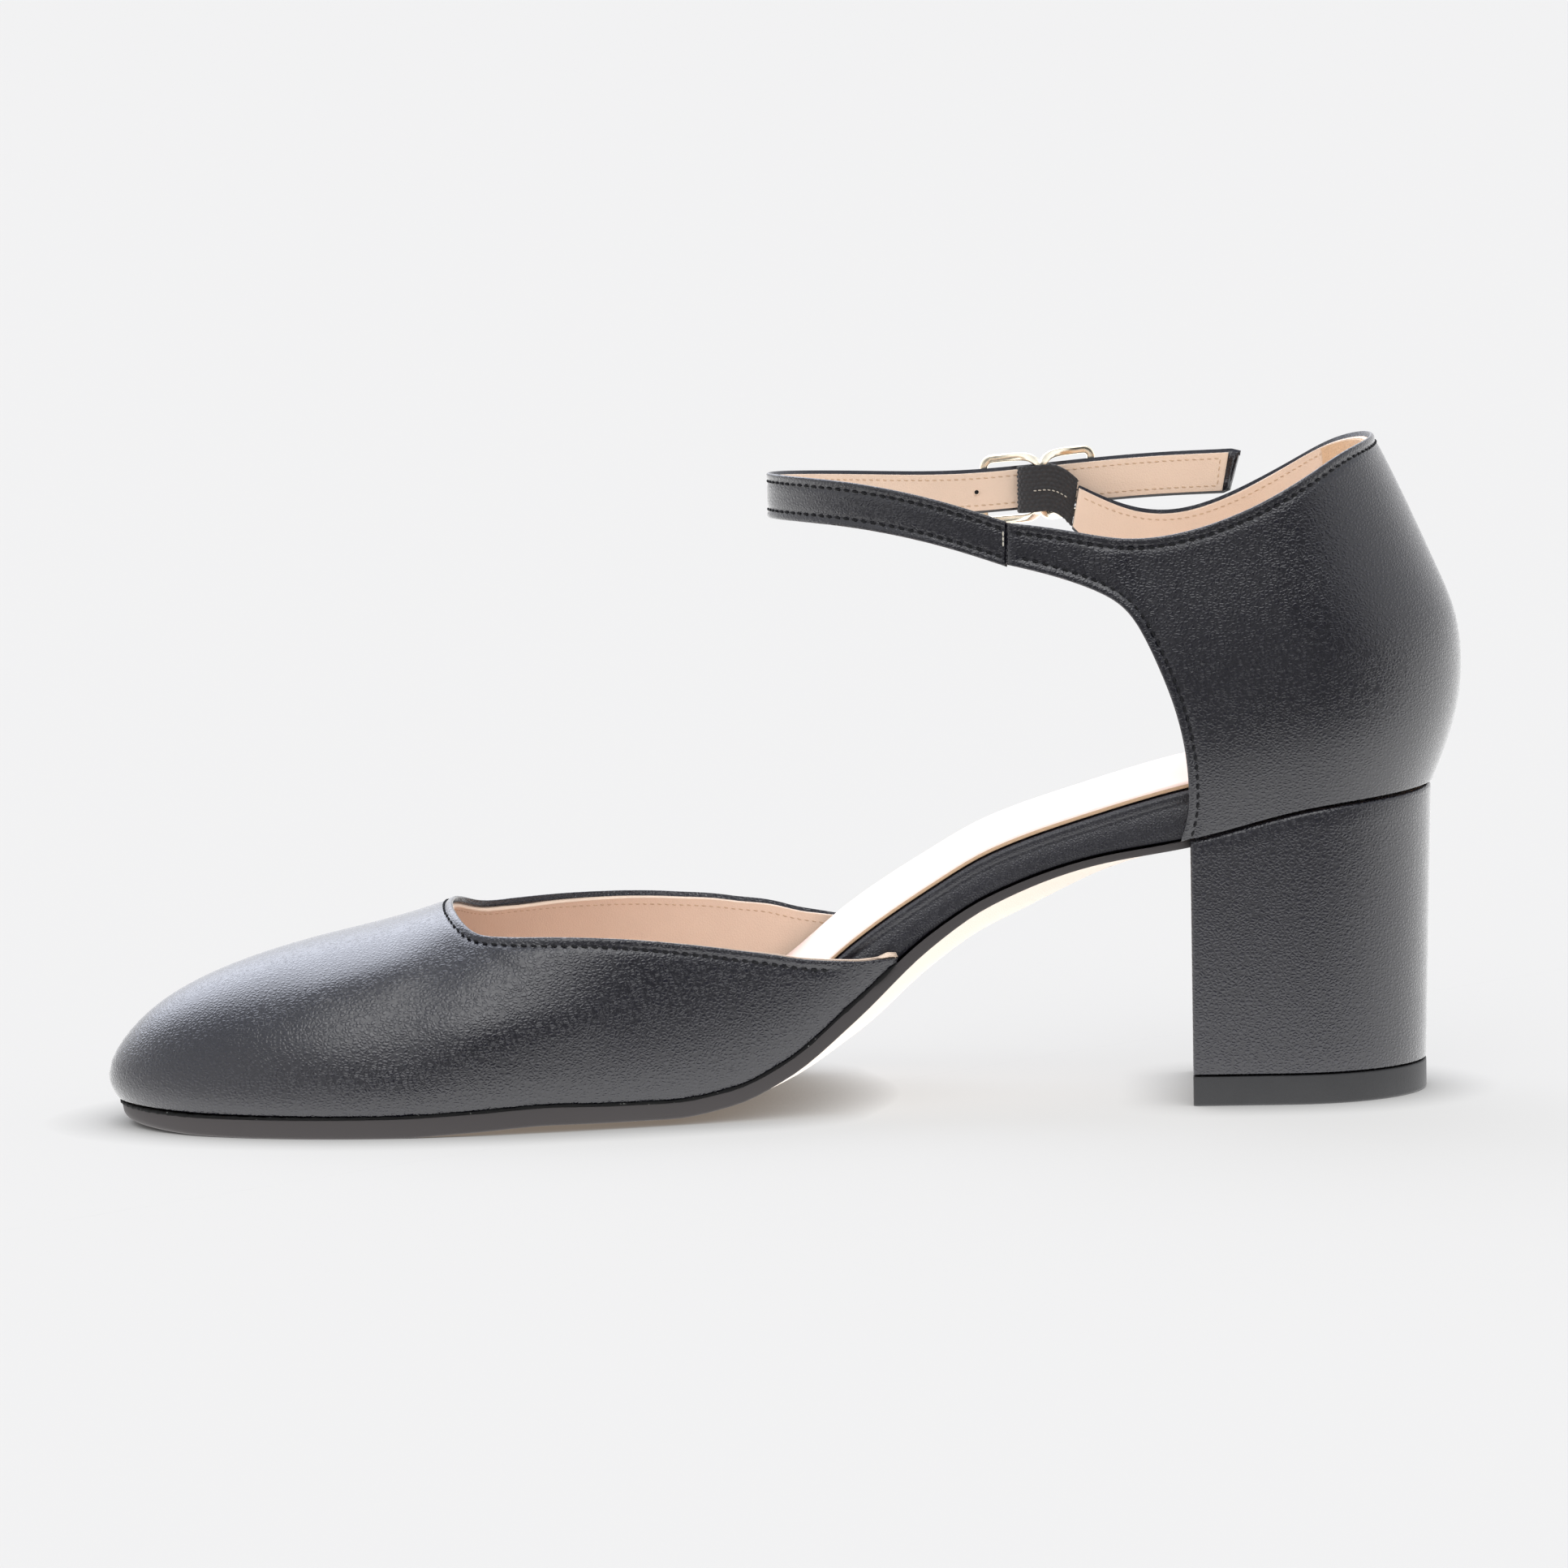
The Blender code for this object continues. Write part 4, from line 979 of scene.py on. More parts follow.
def add_piece(name, bm, finishes, replaces=None):
    """A piece of the shoe from a bmesh, riding on the shoe, with its finishes by name."""
    mesh = bpy.data.meshes.new(name)
    bm.to_mesh(mesh)
    bm.free()
    mesh.shade_smooth()
    for finish_name in finishes:
        mesh.materials.append(finish_named(finish_name))
    piece = bpy.data.objects.new(name, mesh)
    bpy.context.scene.collection.objects.link(piece)
    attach(piece, "root")
    if replaces:
        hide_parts(replaces)
    return piece


def thicken(piece, thickness):
    """Gives a sheet its wall, inwards."""
    wall = piece.modifiers.new("Wall", "SOLIDIFY")
    wall.thickness = thickness * MM
    wall.offset = -1


def roll_edges(bm, roll):
    """Bends the edges of a sheet inwards, like the rim of folded leather."""
    points = []
    for edge in bm.edges:
        if edge.is_boundary:
            start, end = [vertex.co for vertex in edge.verts]
            steps = math.ceil((end - start).length / (ROLL_STEP * MM))
            points += [start.lerp(end, i / steps) for i in range(steps)]
    tree = KDTree(len(points))
    for i, point in enumerate(points):
        tree.insert(point, i)
    tree.balance()
    turns = [max(0.0, 1 - tree.find(vertex.co)[2] / MM / roll) for vertex in bm.verts]
    for vertex, turn in zip(list(bm.verts), turns):
        vertex.co -= vertex.normal * roll * MM * (1 - math.sqrt(1 - turn * turn))


def bearing(vector):
    """A direction of the shoe's stations as one of the scene."""
    return Vector((-vector[0], vector[1], vector[2]))


def unit(vector):
    return vector / np.linalg.norm(vector)


def along_column(column, share):
    """A place between a column's foot and top."""
    foot, top, bow = column
    return foot + (top - foot) * share + bow * share * (1 - share) ** 2


class Sheet:
    """A piece of the upper: its surface on the last, and each of its columns' foot, top and bow."""

    def __init__(self, surface, columns, outward):
        self.surface = surface
        self.columns = columns
        self.outward = outward

    def slopes(self, where):
        first, second = np.array([NUDGE, 0.0]), np.array([0.0, NUDGE])
        along = self.surface(*(where + first)) - self.surface(*(where - first))
        across = self.surface(*(where + second)) - self.surface(*(where - second))
        return along / (2 * NUDGE), across / (2 * NUDGE)

    def normal(self, where):
        return unit(np.cross(*self.slopes(where))) * self.outward

    def row_shares(self, column, insets):
        """Shares along a column for its rows, close together near both edges."""
        shares = np.linspace(0, 1, COLUMN_SAMPLES)
        points = np.array([self.surface(*along_column(column, share)) for share in shares])
        reach = np.concatenate([[0], np.cumsum(np.linalg.norm(np.diff(points, axis=0), axis=1))])
        whole = reach[-1]
        near_foot, near_top = [np.array(EDGE_ROWS) + inset for inset in insets]
        near_foot *= min(1.0, EDGE_SHARE * whole / near_foot[-1])
        near_top *= min(1.0, EDGE_SHARE * whole / near_top[-1])
        middle = np.linspace(near_foot[-1], whole - near_top[-1], MIDDLE_ROWS + 2)[1:-1]
        rows = np.concatenate([near_foot, middle, (whole - near_top)[::-1]])
        beyond = np.minimum(rows, 0) + np.maximum(rows - whole, 0)
        return np.interp(rows, reach, shares) + beyond / whole

    def grid(self, insets=lambda column: (0.0, 0.0)):
        """The sheet as a mesh whose edges lie inside its own by an inset at each column's foot and top."""
        shares = [self.row_shares(column, insets(i)) for i, column in enumerate(self.columns)]
        last_column, last_row = len(self.columns) - 1, len(shares[0]) - 1
        bm = bmesh.new()
        bmesh.ops.create_grid(bm, x_segments=last_column, y_segments=last_row, size=1)
        for vertex in bm.verts:
            column = round((vertex.co.x + 1) / 2 * last_column)
            row = round((vertex.co.y + 1) / 2 * last_row)
            vertex.co = place(self.surface(*along_column(self.columns[column], shares[column][row])))
        if self.outward > 0:
            bmesh.ops.reverse_faces(bm, faces=bm.faces)
        bm.normal_update()
        return bm

    def edge_line(self, end, inset, depth, columns):
        """Points and outward directions inside the feet (end 0) or tops (end 1) by inset or inset(column)."""
        line = []
        last = len(self.columns) - 1
        for i in columns:
            start, other = self.columns[i][end], self.columns[i][1 - end]
            before, after = self.columns[max(i - 1, 0)][end], self.columns[min(i + 1, last)][end]
            edge = self.surface(*after) - self.surface(*before)
            along, across = self.slopes(start)
            inward = unit(np.cross(np.cross(along, across), edge))
            if np.dot(inward, self.surface(*other) - self.surface(*start)) < 0:
                inward = -inward
            reach = inset(i) if callable(inset) else inset
            step = np.linalg.lstsq(np.stack([along, across], axis=1), inward * reach, rcond=None)[0]
            normal = self.normal(start + step)
            line.append((self.surface(*(start + step)) - normal * depth, normal))
        return line

    def crease(self, side, locate, rows):
        """A line on the sheet by way of rows (station, height), found on one side with locate."""
        places = Spline(numbered([locate(side, *row) for row in rows]))
        last = len(rows) - 1
        wheres = [places(last * i / CREASE_STEPS) for i in range(CREASE_STEPS + 1)]
        return [(self.surface(*where), self.normal(where)) for where in wheres]


def walk(line, pitch):
    """Points, directions and outward normals at equal steps along a line."""
    points, normals = [np.array(column) for column in zip(*line)]
    reach = np.concatenate([[0], np.cumsum(np.linalg.norm(np.diff(points, axis=0), axis=1))])
    count = max(1, round(reach[-1] / pitch))

    def at(rows, distance):
        return np.array([np.interp(distance, reach, rows[:, i]) for i in range(3)])

    for i in range(count):
        distance = (i + 0.5) * reach[-1] / count
        direction = at(points, distance + pitch / 4) - at(points, distance - pitch / 4)
        yield at(points, distance), unit(direction), unit(at(normals, distance))


def press(bm, lines):
    """Soft troughs (negative) and ridges in a sheet: line, height and half width of each."""
    moves = np.zeros(len(bm.verts))
    for line, height, width in lines:
        points = [place(point) for point, _, _ in walk(line, width / 2)]
        tree = KDTree(len(points))
        for i, point in enumerate(points):
            tree.insert(point, i)
        tree.balance()
        for i, vertex in enumerate(bm.verts):
            moves[i] += height * math.exp(-(tree.find(vertex.co)[2] / MM / width) ** 2)
    for vertex, move in zip(list(bm.verts), moves):
        vertex.co += vertex.normal * move * MM


def axes_at(point, axes):
    """The matrix with these axes, at a point of the shoe."""
    matrix = Matrix([(*axis, 0) for axis in axes] + [(0, 0, 0, 1)]).transposed()
    matrix.translation = place(point)
    return matrix


def add_stitch(bm, point, direction, normal, half_length, radius):
    """One stitch: a drop of thread that dips at both ends."""
    side = np.cross(normal, direction)
    sizes = (side, radius), (normal, radius), (direction, half_length)
    matrix = axes_at(point, [bearing(axis) * size * MM for axis, size in sizes])
    stitch = bmesh.new()
    bmesh.ops.create_uvsphere(
        stitch, u_segments=STITCH_SIDES, v_segments=STITCH_SIDES, radius=1, matrix=matrix)
    bmesh.ops.recalc_face_normals(stitch, faces=stitch.faces)
    mesh = bpy.data.meshes.new("stitch")
    stitch.to_mesh(mesh)
    stitch.free()
    bm.from_mesh(mesh)
    bpy.data.meshes.remove(mesh)


def stitch_rows(name, lines, pitch, radius, sink, finish_name):
    """Rows of stitches along lines, as one mesh."""
    bm = bmesh.new()
    for line in lines:
        for point, direction, normal in walk(line, pitch):
            slanted = unit(direction + np.cross(normal, direction) * STITCH_SLANT)
            add_stitch(bm, point - normal * sink, slanted, normal, pitch * STITCH_SHARE / 2, radius)
    return add_piece(name, bm, [finish_name])


def loop_of(side, across_rows):
    """A closed loop about a slab's section from one side's rows: (inset, level, shift) from bottom to top."""
    inner = [2 * i / across_rows - 1 for i in range(1, across_rows)]
    loop = [(-1, *row) for row in side] + [(across, *side[-1]) for across in inner]
    return loop + [(1, *row) for row in side[::-1]] + [(across, *side[0]) for across in inner[::-1]]


def rounded_side(low, high, steps=4, details=()):
    """Rows up a slab's side with its lower and upper edges rounded, and details between them."""
    turns = [math.pi / 2 * i / steps for i in range(steps + 1)]
    lower = [(low * (1 - math.sin(a)), 0.0, low * (1 - math.cos(a))) for a in turns]
    upper = [(high * (1 - math.cos(a)), 1.0, high * (math.sin(a) - 1)) for a in turns]
    return lower + list(details) + upper


def leaned(station, shift):
    """A station of the heel with its back moved forward by shift, and its breast left in place."""
    return station + shift * (BREAST_STATION - station) / (BREAST_STATION - HEEL_BACK_STATION)


def slab(rows, loop, margin, top, bottom, narrow=(1.0, 1.0), lean=(0.0, 0.0), rounding=lambda station: 1.0,
         underside=0):
    """A closed solid over rows (share, inset) of the plan, with a loop of its section at each row.

    margin(station) moves its outline outwards; top and bottom take (station, across from -1 to 1); narrow
    scales its width at the top and at the bottom, and lean moves the back of a heel forward there;
    rounding(station) scales the roundness of its lower edge; underside is its underside's finish, by number.
    """
    last_row, last_loop = len(rows) - 1, len(loop)
    bm = bmesh.new()
    bmesh.ops.create_grid(bm, x_segments=last_row, y_segments=last_loop, size=1)
    for face in bm.faces:
        spots = [loop[round((vertex.co.y + 1) / 2 * last_loop) % last_loop] for vertex in face.verts]
        face.material_index = underside if all(spot[1:] == loop[0][1:] for spot in spots) else 0
    for vertex in bm.verts:
        share, row_inset = rows[round((vertex.co.x + 1) / 2 * last_row)]
        across, inset, level, shift = loop[round((vertex.co.y + 1) / 2 * last_loop) % last_loop]
        ends = []
        for side in (MEDIAL, LATERAL):
            place_on = edge_point(side, share)[0]
            swell = rounding(place_on) if level < 0.5 else 1.0
            ends.append(edge_offset(side, share, margin(place_on) - inset * swell - row_inset))
        station, y = ends[0] + (ends[1] - ends[0]) * (across + 1) / 2
        floor, ceiling = bottom(station, across), top(station, across)
        y *= narrow[1] + (narrow[0] - narrow[1]) * level
        station = leaned(station, lean[1] + (lean[0] - lean[1]) * level)
        vertex.co = place((station, y, floor + (ceiling - floor) * level + shift * swell))
    bmesh.ops.remove_doubles(bm, verts=bm.verts, dist=MERGE * MM)
    open_edges = [edge for edge in bm.edges if edge.is_boundary]
    bmesh.ops.holes_fill(bm, edges=open_edges, sides=0)
    bmesh.ops.recalc_face_normals(bm, faces=bm.faces)
    return bm


def swept(points, outward, section, closed):
    """A bar along points: section(share along, angle) gives its reach across and outwards."""
    count = len(points)
    spans = count if closed else count - 1
    bm = bmesh.new()
    bmesh.ops.create_grid(bm, x_segments=spans, y_segments=SWEEP_SIDES, size=1)
    for vertex in bm.verts:
        i = round((vertex.co.x + 1) / 2 * spans)
        angle = math.pi * (vertex.co.y + 1)
        before = points[(i - 1) % count] if closed else points[max(i - 1, 0)]
        after = points[(i + 1) % count] if closed else points[min(i + 1, count - 1)]
        along = unit(after - before)
        across = unit(np.cross(along, outward))
        out = np.cross(across, along)
        reach, lift = section(i / spans, angle)
        vertex.co = place(points[i % count] + across * reach + out * lift)
    bmesh.ops.remove_doubles(bm, verts=bm.verts, dist=0.1 * MERGE * MM)
    bmesh.ops.recalc_face_normals(bm, faces=bm.faces)
    return bm


def towards_toe(station, start):
    """How far a station lies on the way from a start (0) to the tip of the toe (1)."""
    return max(0.0, (station - start) / (TOE_STATION - start))


def rows_between(start, end):
    """Shares along the edge from start to end, for the rows of a slab."""
    heel = [i / HEEL_ROWS for i in range(HEEL_ROWS)]
    sides = [1 + i / SIDE_ROWS for i in range(SIDE_ROWS)]
    toe = [2 + i / TOE_ROWS for i in range(TOE_ROWS)]
    clear = 0.4 / SIDE_ROWS
    return [start] + [s for s in heel + sides + toe if start + clear < s < end - clear] + [end]


def paint_faces(piece, chosen, index):
    """Gives the chosen faces another of the piece's finishes."""
    for face in piece.data.polygons:
        if chosen(face):
            face.material_index = index


def slant_breast(bm):
    """Turns the heel's front face back towards the lateral side."""
    for vertex in bm.verts:
        station = MID_STATION - vertex.co.x / MM
        near = min(1.0, max(0.0, 1 - (BREAST_STATION - station) / BREAST_REACH))
        across = (vertex.co.y / MM + MID_Y) / HEEL_HALF_WIDTH
        vertex.co.x += BREAST_SLANT * MM * near * (across + 1) / 2


# Pieces

def strap_point(at, height, depth):
    """A point of the strap at a row number: height over its middle line, depth under its outer face."""
    near_end = max(0.0, 1 - (STRAP_END - at) / TIP_CURL_ROWS)
    middle, along, outward, up = strap_frame(min(STRAP_END, max(0.0, at)))
    middle = middle + along * (STRAP_ROW * (min(0.0, at) + TIP_SLANT * height * near_end))
    near_tip = max(0.0, 1 - (STRAP_END - at) / STRAP_TIP_ROWS)
    height *= 1 + (STRAP_TIP_WIDTH / STRAP_WIDTH - 1) * near_tip
    curl = near_end ** 2 * TIP_CURL * max(0.0, height / STRAP_WIDTH + 0.5)
    return middle + outward * (STRAP_THICKNESS / 2 - depth + curl) + up * height


def strap_grid(first, last, half_width, depth):
    """A band of the strap's sheet between two row numbers."""
    rows = [-half_width + row for row in EDGE_ROWS[:12]]
    rows += [row * half_width / 4 for row in (-1, 0, 1)] + [-row for row in rows[::-1]]
    rows = sorted(rows)
    last_row = len(rows) - 1
    bm = bmesh.new()
    bmesh.ops.create_grid(bm, x_segments=STRAP_COLUMNS, y_segments=last_row, size=1)
    for vertex in bm.verts:
        at = first + (last - first) * (vertex.co.x + 1) / 2
        vertex.co = place(strap_point(at, rows[round((vertex.co.y + 1) / 2 * last_row)], depth))
    bmesh.ops.reverse_faces(bm, faces=bm.faces)
    bm.normal_update()
    return bm


def strap_stitch_line(first, last, height, depth):
    """A line of stitches along the strap between two row numbers."""
    rows = [first + (last - first) * i / STITCH_LINE_STEPS for i in range(STITCH_LINE_STEPS + 1)]
    return [(strap_point(at, height, depth), strap_frame(at)[2]) for at in rows]


def strap_stitch_end(at, half_height, depth):
    """A line of stitches across the strap."""
    heights = [half_height * (2 * i / ROUND_STEPS - 1) for i in range(ROUND_STEPS + 1)]
    return [(strap_point(at, height, depth), strap_frame(at)[2]) for height in heights]


def turned(line):
    """A line seen from the other side of its sheet."""
    return [(point, -normal) for point, normal in line]


class PUMP_OT_stage(bpy.types.Operator):
    """Builds the pale floor, the soft studio light and the camera"""

    bl_idname = "pump.stage"
    bl_label = "Studio"

    def execute(self, context):
        floor = self.add_plane(context, "studio_floor", FLOOR_SIZE, 0.0, self.floor_finish())
        floor.visible_glossy = False
        floor.visible_diffuse = False
        card = self.add_plane(context, "studio_card", CARD_SIZE, -CARD_DEPTH, self.card_finish())
        card.visible_camera = False
        self.add_softbox(context)
        self.add_world(context)
        self.add_camera(context)
        return {"FINISHED"}

    def add_plane(self, context, name, size, height, material):
        bm = bmesh.new()
        level = Matrix.Translation((0, 0, height))
        bmesh.ops.create_grid(bm, x_segments=1, y_segments=1, size=size, matrix=level)
        mesh = bpy.data.meshes.new(name)
        bm.to_mesh(mesh)
        bm.free()
        mesh.materials.append(material)
        plane = bpy.data.objects.new(name, mesh)
        context.scene.collection.objects.link(plane)
        return plane

    def card_finish(self):
        """The floor's light as the leather mirrors it, fading towards the camera."""
        finish = Finish("studio_card")
        place_on = finish.node("ShaderNodeTexCoord", output="Object")
        depth = finish.node("ShaderNodeSeparateXYZ", {}, {0: place_on}, "Y")
        end, far, near = [(level, level, level, 1.0) for level in (CARD_END, CARD_FAR, CARD_NEAR)]
        front = finish.blend(finish.smooth(depth, *CARD_RETURN), end, far)
        finish.shade({
            "Base Color": (0.0, 0.0, 0.0, 1.0),
            "Specular IOR Level": 0.0,
            "Emission Color": finish.blend(finish.smooth(depth, *CARD_FADE), front, near),
            "Emission Strength": 1.0,
        })
        return finish.material

    def floor_finish(self):
        """A matt floor that glows a little, so that it stays even, with a narrow shadow under the sole."""
        finish = Finish("studio_floor")
        open_share = finish.node(
            "ShaderNodeAmbientOcclusion", {"samples": 16}, {"Distance": CONTACT_REACH}, "AO")
        pale = tint("floor")
        finish.shade({
            "Base Color": pale,
            "Roughness": 0.9,
            "Specular IOR Level": 0.0,
            "Emission Color": finish.blend(open_share, (0.0, 0.0, 0.0, 1.0), (1.0, 1.0, 1.0, 1.0)),
            "Emission Strength": FLOOR_GLOW,
        })
        return finish.material

    def add_softbox(self, context):
        light = bpy.data.lights.new("softbox", "AREA")
        light.size = SOFTBOX_SIZE
        light.energy = SOFTBOX_POWER
        lamp = bpy.data.objects.new("softbox", light)
        lamp.location = (0.0, 0.0, SOFTBOX_HEIGHT)
        lamp.visible_camera = False
        context.scene.collection.objects.link(lamp)

    def add_world(self, context):
        """Soft light from all round, brighter overhead and at the back, with a dim room behind the camera."""
        world = bpy.data.worlds.new("studio_world")
        world.use_nodes = True
        nodes = Nodes(world.node_tree)
        direction = nodes.node("ShaderNodeTexCoord", output="Generated")
        height = nodes.node("ShaderNodeSeparateXYZ", {}, {0: direction}, "Z")

        def towards(axis):
            settings = {"operation": "DOT_PRODUCT"}
            return nodes.node("ShaderNodeVectorMath", settings, {0: direction, 1: axis}, "Value")

        glow = nodes.blend(nodes.smooth(height, 0.1, 0.8), BRIGHT_SIDES, BRIGHT_TOP)
        glow = nodes.blend(nodes.smooth(towards(BACK_AXIS), *BACK_SPREAD), glow, BRIGHT_BACK)
        glow = nodes.blend(nodes.smooth(towards(FRONT_AXIS), *FRONT_SPREAD), glow, BRIGHT_FRONT)
        low = 1 - nodes.smooth(height, *DIM_TOP)
        glow = nodes.blend(nodes.smooth(towards(DIM_AXIS), *DIM_SPREAD) * low, glow, DIM_FRONT)
        glow = nodes.blend(nodes.smooth(towards(DARK_AXIS), *DARK_SPREAD) * low, glow, DARK_FRONT)
        nodes.feed(world.node_tree.nodes["Background"].inputs["Color"], glow)
        context.scene.world = world
        context.scene.view_settings.view_transform = "Standard"

    def add_camera(self, context):
        """The camera looks at the medial side from a little above, with a slight roll."""
        tilt, roll = math.radians(CAMERA_ELEVATION), math.radians(CAMERA_ROLL)
        side, rise = Vector((1, 0, 0)), Vector((0, math.sin(tilt), math.cos(tilt)))
        back = Vector((0, -math.cos(tilt), math.sin(tilt)))
        right = side * math.cos(roll) - rise * math.sin(roll)
        up = side * math.sin(roll) + rise * math.cos(roll)
        data = bpy.data.cameras.new("camera")
        data.sensor_width = SENSOR
        data.lens = SENSOR * CAMERA_DISTANCE / FRAME_WIDTH
        camera = bpy.data.objects.new("camera", data)
        turn = Matrix((right, up, back)).transposed().to_4x4()
        camera.matrix_world = Matrix.Translation(Vector(CAMERA_TARGET) + back * CAMERA_DISTANCE) @ turn
        context.scene.collection.objects.link(camera)
        context.scene.camera = camera


class PUMP_OT_sole(bpy.types.Operator):
    """Builds the outsole, the wrapped insole board and the sock"""

    bl_idname = "pump.sole"
    bl_label = "Sole"

    def execute(self, context):
        whole = [(share, 0.0) for share in rows_between(0.0, TOE_SHARE)]
        front = [(share, 0.0) for share in rows_between(share_at(BREAST_STATION - SOLE_LAP), TOE_SHARE)]
        side = [(SOLE_EDGES[0] + UNDERSIDE_RING, 0.0, 0.0)] + rounded_side(*SOLE_EDGES)
        outsole = slab(
            front, loop_of(side, ACROSS_ROWS), lambda s: sole_margin(s)[0],
            lambda s, a: bed(s) - belly(s, a), lambda s, a: tread(s) - belly(s, a),
            rounding=lambda s: 1 + TOE_ROUNDING * towards_toe(s, ROUNDED_FROM) ** 2, underside=1)
        add_piece("outsole_leather", outsole, ["sole_edge", "sole_underside"], "outsole")
        side = rounded_side(*BOARD_EDGES, details=BOARD_LIP)
        board = slab(
            whole, loop_of(side, ACROSS_ROWS), lambda s: -BOARD_INSET, lambda s, a: footbed(s),
            lambda s, a: bed(s) + GAP - belly(s, a))
        add_piece("board_wrap", board, ["board_leather"], "insole_board")
        sock = slab(
            whole, loop_of(rounded_side(*SOCK_EDGES), ACROSS_ROWS), lambda s: -BOARD_INSET - SOCK_INSET,
            lambda s, a: footbed(s) + GAP + SOCK_THICKNESS, lambda s, a: footbed(s) + GAP)
        piece = add_piece("sock_leather", sock, ["sock_leather", "sock_edge"], "sock_lining")
        paint_faces(piece, lambda face: face.normal.z < 0.3, 1)
        self.add_seam_and_shade()
        return {"FINISHED"}

    def add_seam_and_shade(self):
        """The dark, slightly uneven line of cement between the vamp and the outsole; its near-black is partly
        painted shade of the gap there.
        """
        start = share_at(TAIL_STATION)
        shares = np.linspace(start, TOE_SHARE, SEAM_POINTS).tolist()
        points = []
        for side, along in ((MEDIAL, shares), (LATERAL, shares[-2::-1])):
            for share in along:
                toe = towards_toe(edge_point(side, share)[0], SEAM_TUCK_STATION)
                station, y = edge_offset(side, share, SEAM_MARGIN - SEAM_TUCK * toe)
                points.append(np.array([station, y, bed(station) + GAP / 2]))

        def uneven(share, angle):
            end = min(1.0, min(share, 1 - share) / SEAM_END_SHARE)
            waves = sum(height * math.sin(share * pace + start) for height, pace, start in SEAM_WAVES)
            size = SEAM_RADIUS * end * (1 + waves)
            return size * math.cos(angle), size * math.sin(angle)

        seam = swept(points, np.array([0.0, 0.0, 1.0]), uneven, False)
        add_piece("feather_seam_and_shade", seam, ["cement_and_shade_seam"])


class PUMP_OT_heel(bpy.types.Operator):
    """Builds the covered heel block and its top lift"""

    bl_idname = "pump.heel"
    bl_label = "Heel"

    def execute(self, context):
        corner = [math.pi / 2 * i / 5 for i in range(6)]
        span = BALL_STATION - HEEL_SEAT_STATION
        shares = rows_between(0.0, share_at(BREAST_STATION - BREAST_CORNER))
        rows = [(share, 0.0) for share in shares]
        rows += [(share_at(BREAST_STATION - BREAST_CORNER) + BREAST_CORNER * math.sin(a) / span,
                  BREAST_CORNER * (1 - math.cos(a))) for a in corner[1:]]
        foot = LIFT_HALF_WIDTH / (HEEL_HALF_WIDTH - BLOCK_INSET)
        lift = (LIFT_HALF_WIDTH + LIFT_PROUD) / (HEEL_HALF_WIDTH - BLOCK_INSET)
        levels = [(0.0, i / 12, 0.0) for i in range(1, 12)]
        block = slab(
            rows, loop_of(rounded_side(*BLOCK_EDGES, details=levels), ACROSS_ROWS), lambda s: -BLOCK_INSET,
            lambda s, a: bed(s), lambda s, a: LIFT_HEIGHT + GAP, (1.0, foot), (0.0, HEEL_LEAN))
        slant_breast(block)
        add_piece("heel_cover", block, ["heel_leather"], "heel_block")
        rubber = slab(
            rows, loop_of(rounded_side(*LIFT_EDGES), ACROSS_ROWS), lambda s: -BLOCK_INSET,
            lambda s, a: LIFT_HEIGHT, lambda s, a: 0.0, (lift, lift), (HEEL_LEAN, HEEL_LEAN))
        slant_breast(rubber)
        add_piece("lift_rubber", rubber, ["lift_rubber"], "top_lift")
        return {"FINISHED"}


def dress(name, sheet, stitch_lines, puff_lines, lining_lines, drops, creases):
    """Leather, lining and stitches of a piece of the upper."""
    leather = sheet.grid()
    lines = [(line, -mm("groove"), GROOVE_WIDTH) for line in stitch_lines]
    lines += [(line, mm("puff"), PUFF_WIDTH) for line in puff_lines]
    press(leather, lines + creases)
    roll_edges(leather, mm("leather_roll"))
    piece = add_piece(name + "_leather", leather, ["upper_leather"], name)
    thicken(piece, mm("leather"))
    lining = sheet.grid(drops)
    for vertex in list(lining.verts):
        vertex.co -= vertex.normal * mm("leather") * MM
    piece = add_piece(name + "_lining", lining, ["lining_leather"])
    thicken(piece, mm("lining"))
    stitch_rows(
        name + "_stitches", stitch_lines, mm("stitch_pitch"), mm("thread"), mm("groove") / 2, "black_thread")
    stitch_rows(
        name + "_lining_stitches", [turned(line) for line in lining_lines], mm("lining_pitch"), LINING_THREAD,
        LINING_SINK, "lining_thread")


class PUMP_OT_vamp(bpy.types.Operator):
    """Builds the vamp's leather, lining and stitches"""

    bl_idname = "pump.vamp"
    bl_label = "Vamp"

    def execute(self, context):
        sheet = Sheet(vamp_surface, vamp_columns(VAMP_COLUMNS), 1)
        stitched = range(UNSTITCHED_COLUMNS, VAMP_COLUMNS - UNSTITCHED_COLUMNS + 1)
        inset = mm("stitch_inset")
        outer = sheet.edge_line(1, inset, 0.0, stitched)
        puff = sheet.edge_line(1, inset * PUFF_SHARE, 0.0, stitched)
        inner = sheet.edge_line(1, lambda i: self.drop(i) + mm("lining_inset"), WALL, stitched)
        creases = [(sheet.crease(MEDIAL, vamp_place, rows), height, width)
                   for height, width, rows in VAMP_CREASES]
        dress("vamp", sheet, [outer], [puff], [inner], lambda i: (mm("lining_drop"), self.drop(i)), creases)
        return {"FINISHED"}

    def drop(self, column):
        """How far the lining's edge lies below the leather's: a little proud of it on the medial side."""
        share = column / VAMP_COLUMNS
        proud = 1 - min(1.0, max(0.0, (share - PROUD_END) / PROUD_FADE))
        lowered = min(1.0, max(0.0, (share - PROUD_END - PROUD_FADE) / PROUD_FADE))
        return mm("lateral_drop") * lowered - LINING_PROUD * proud


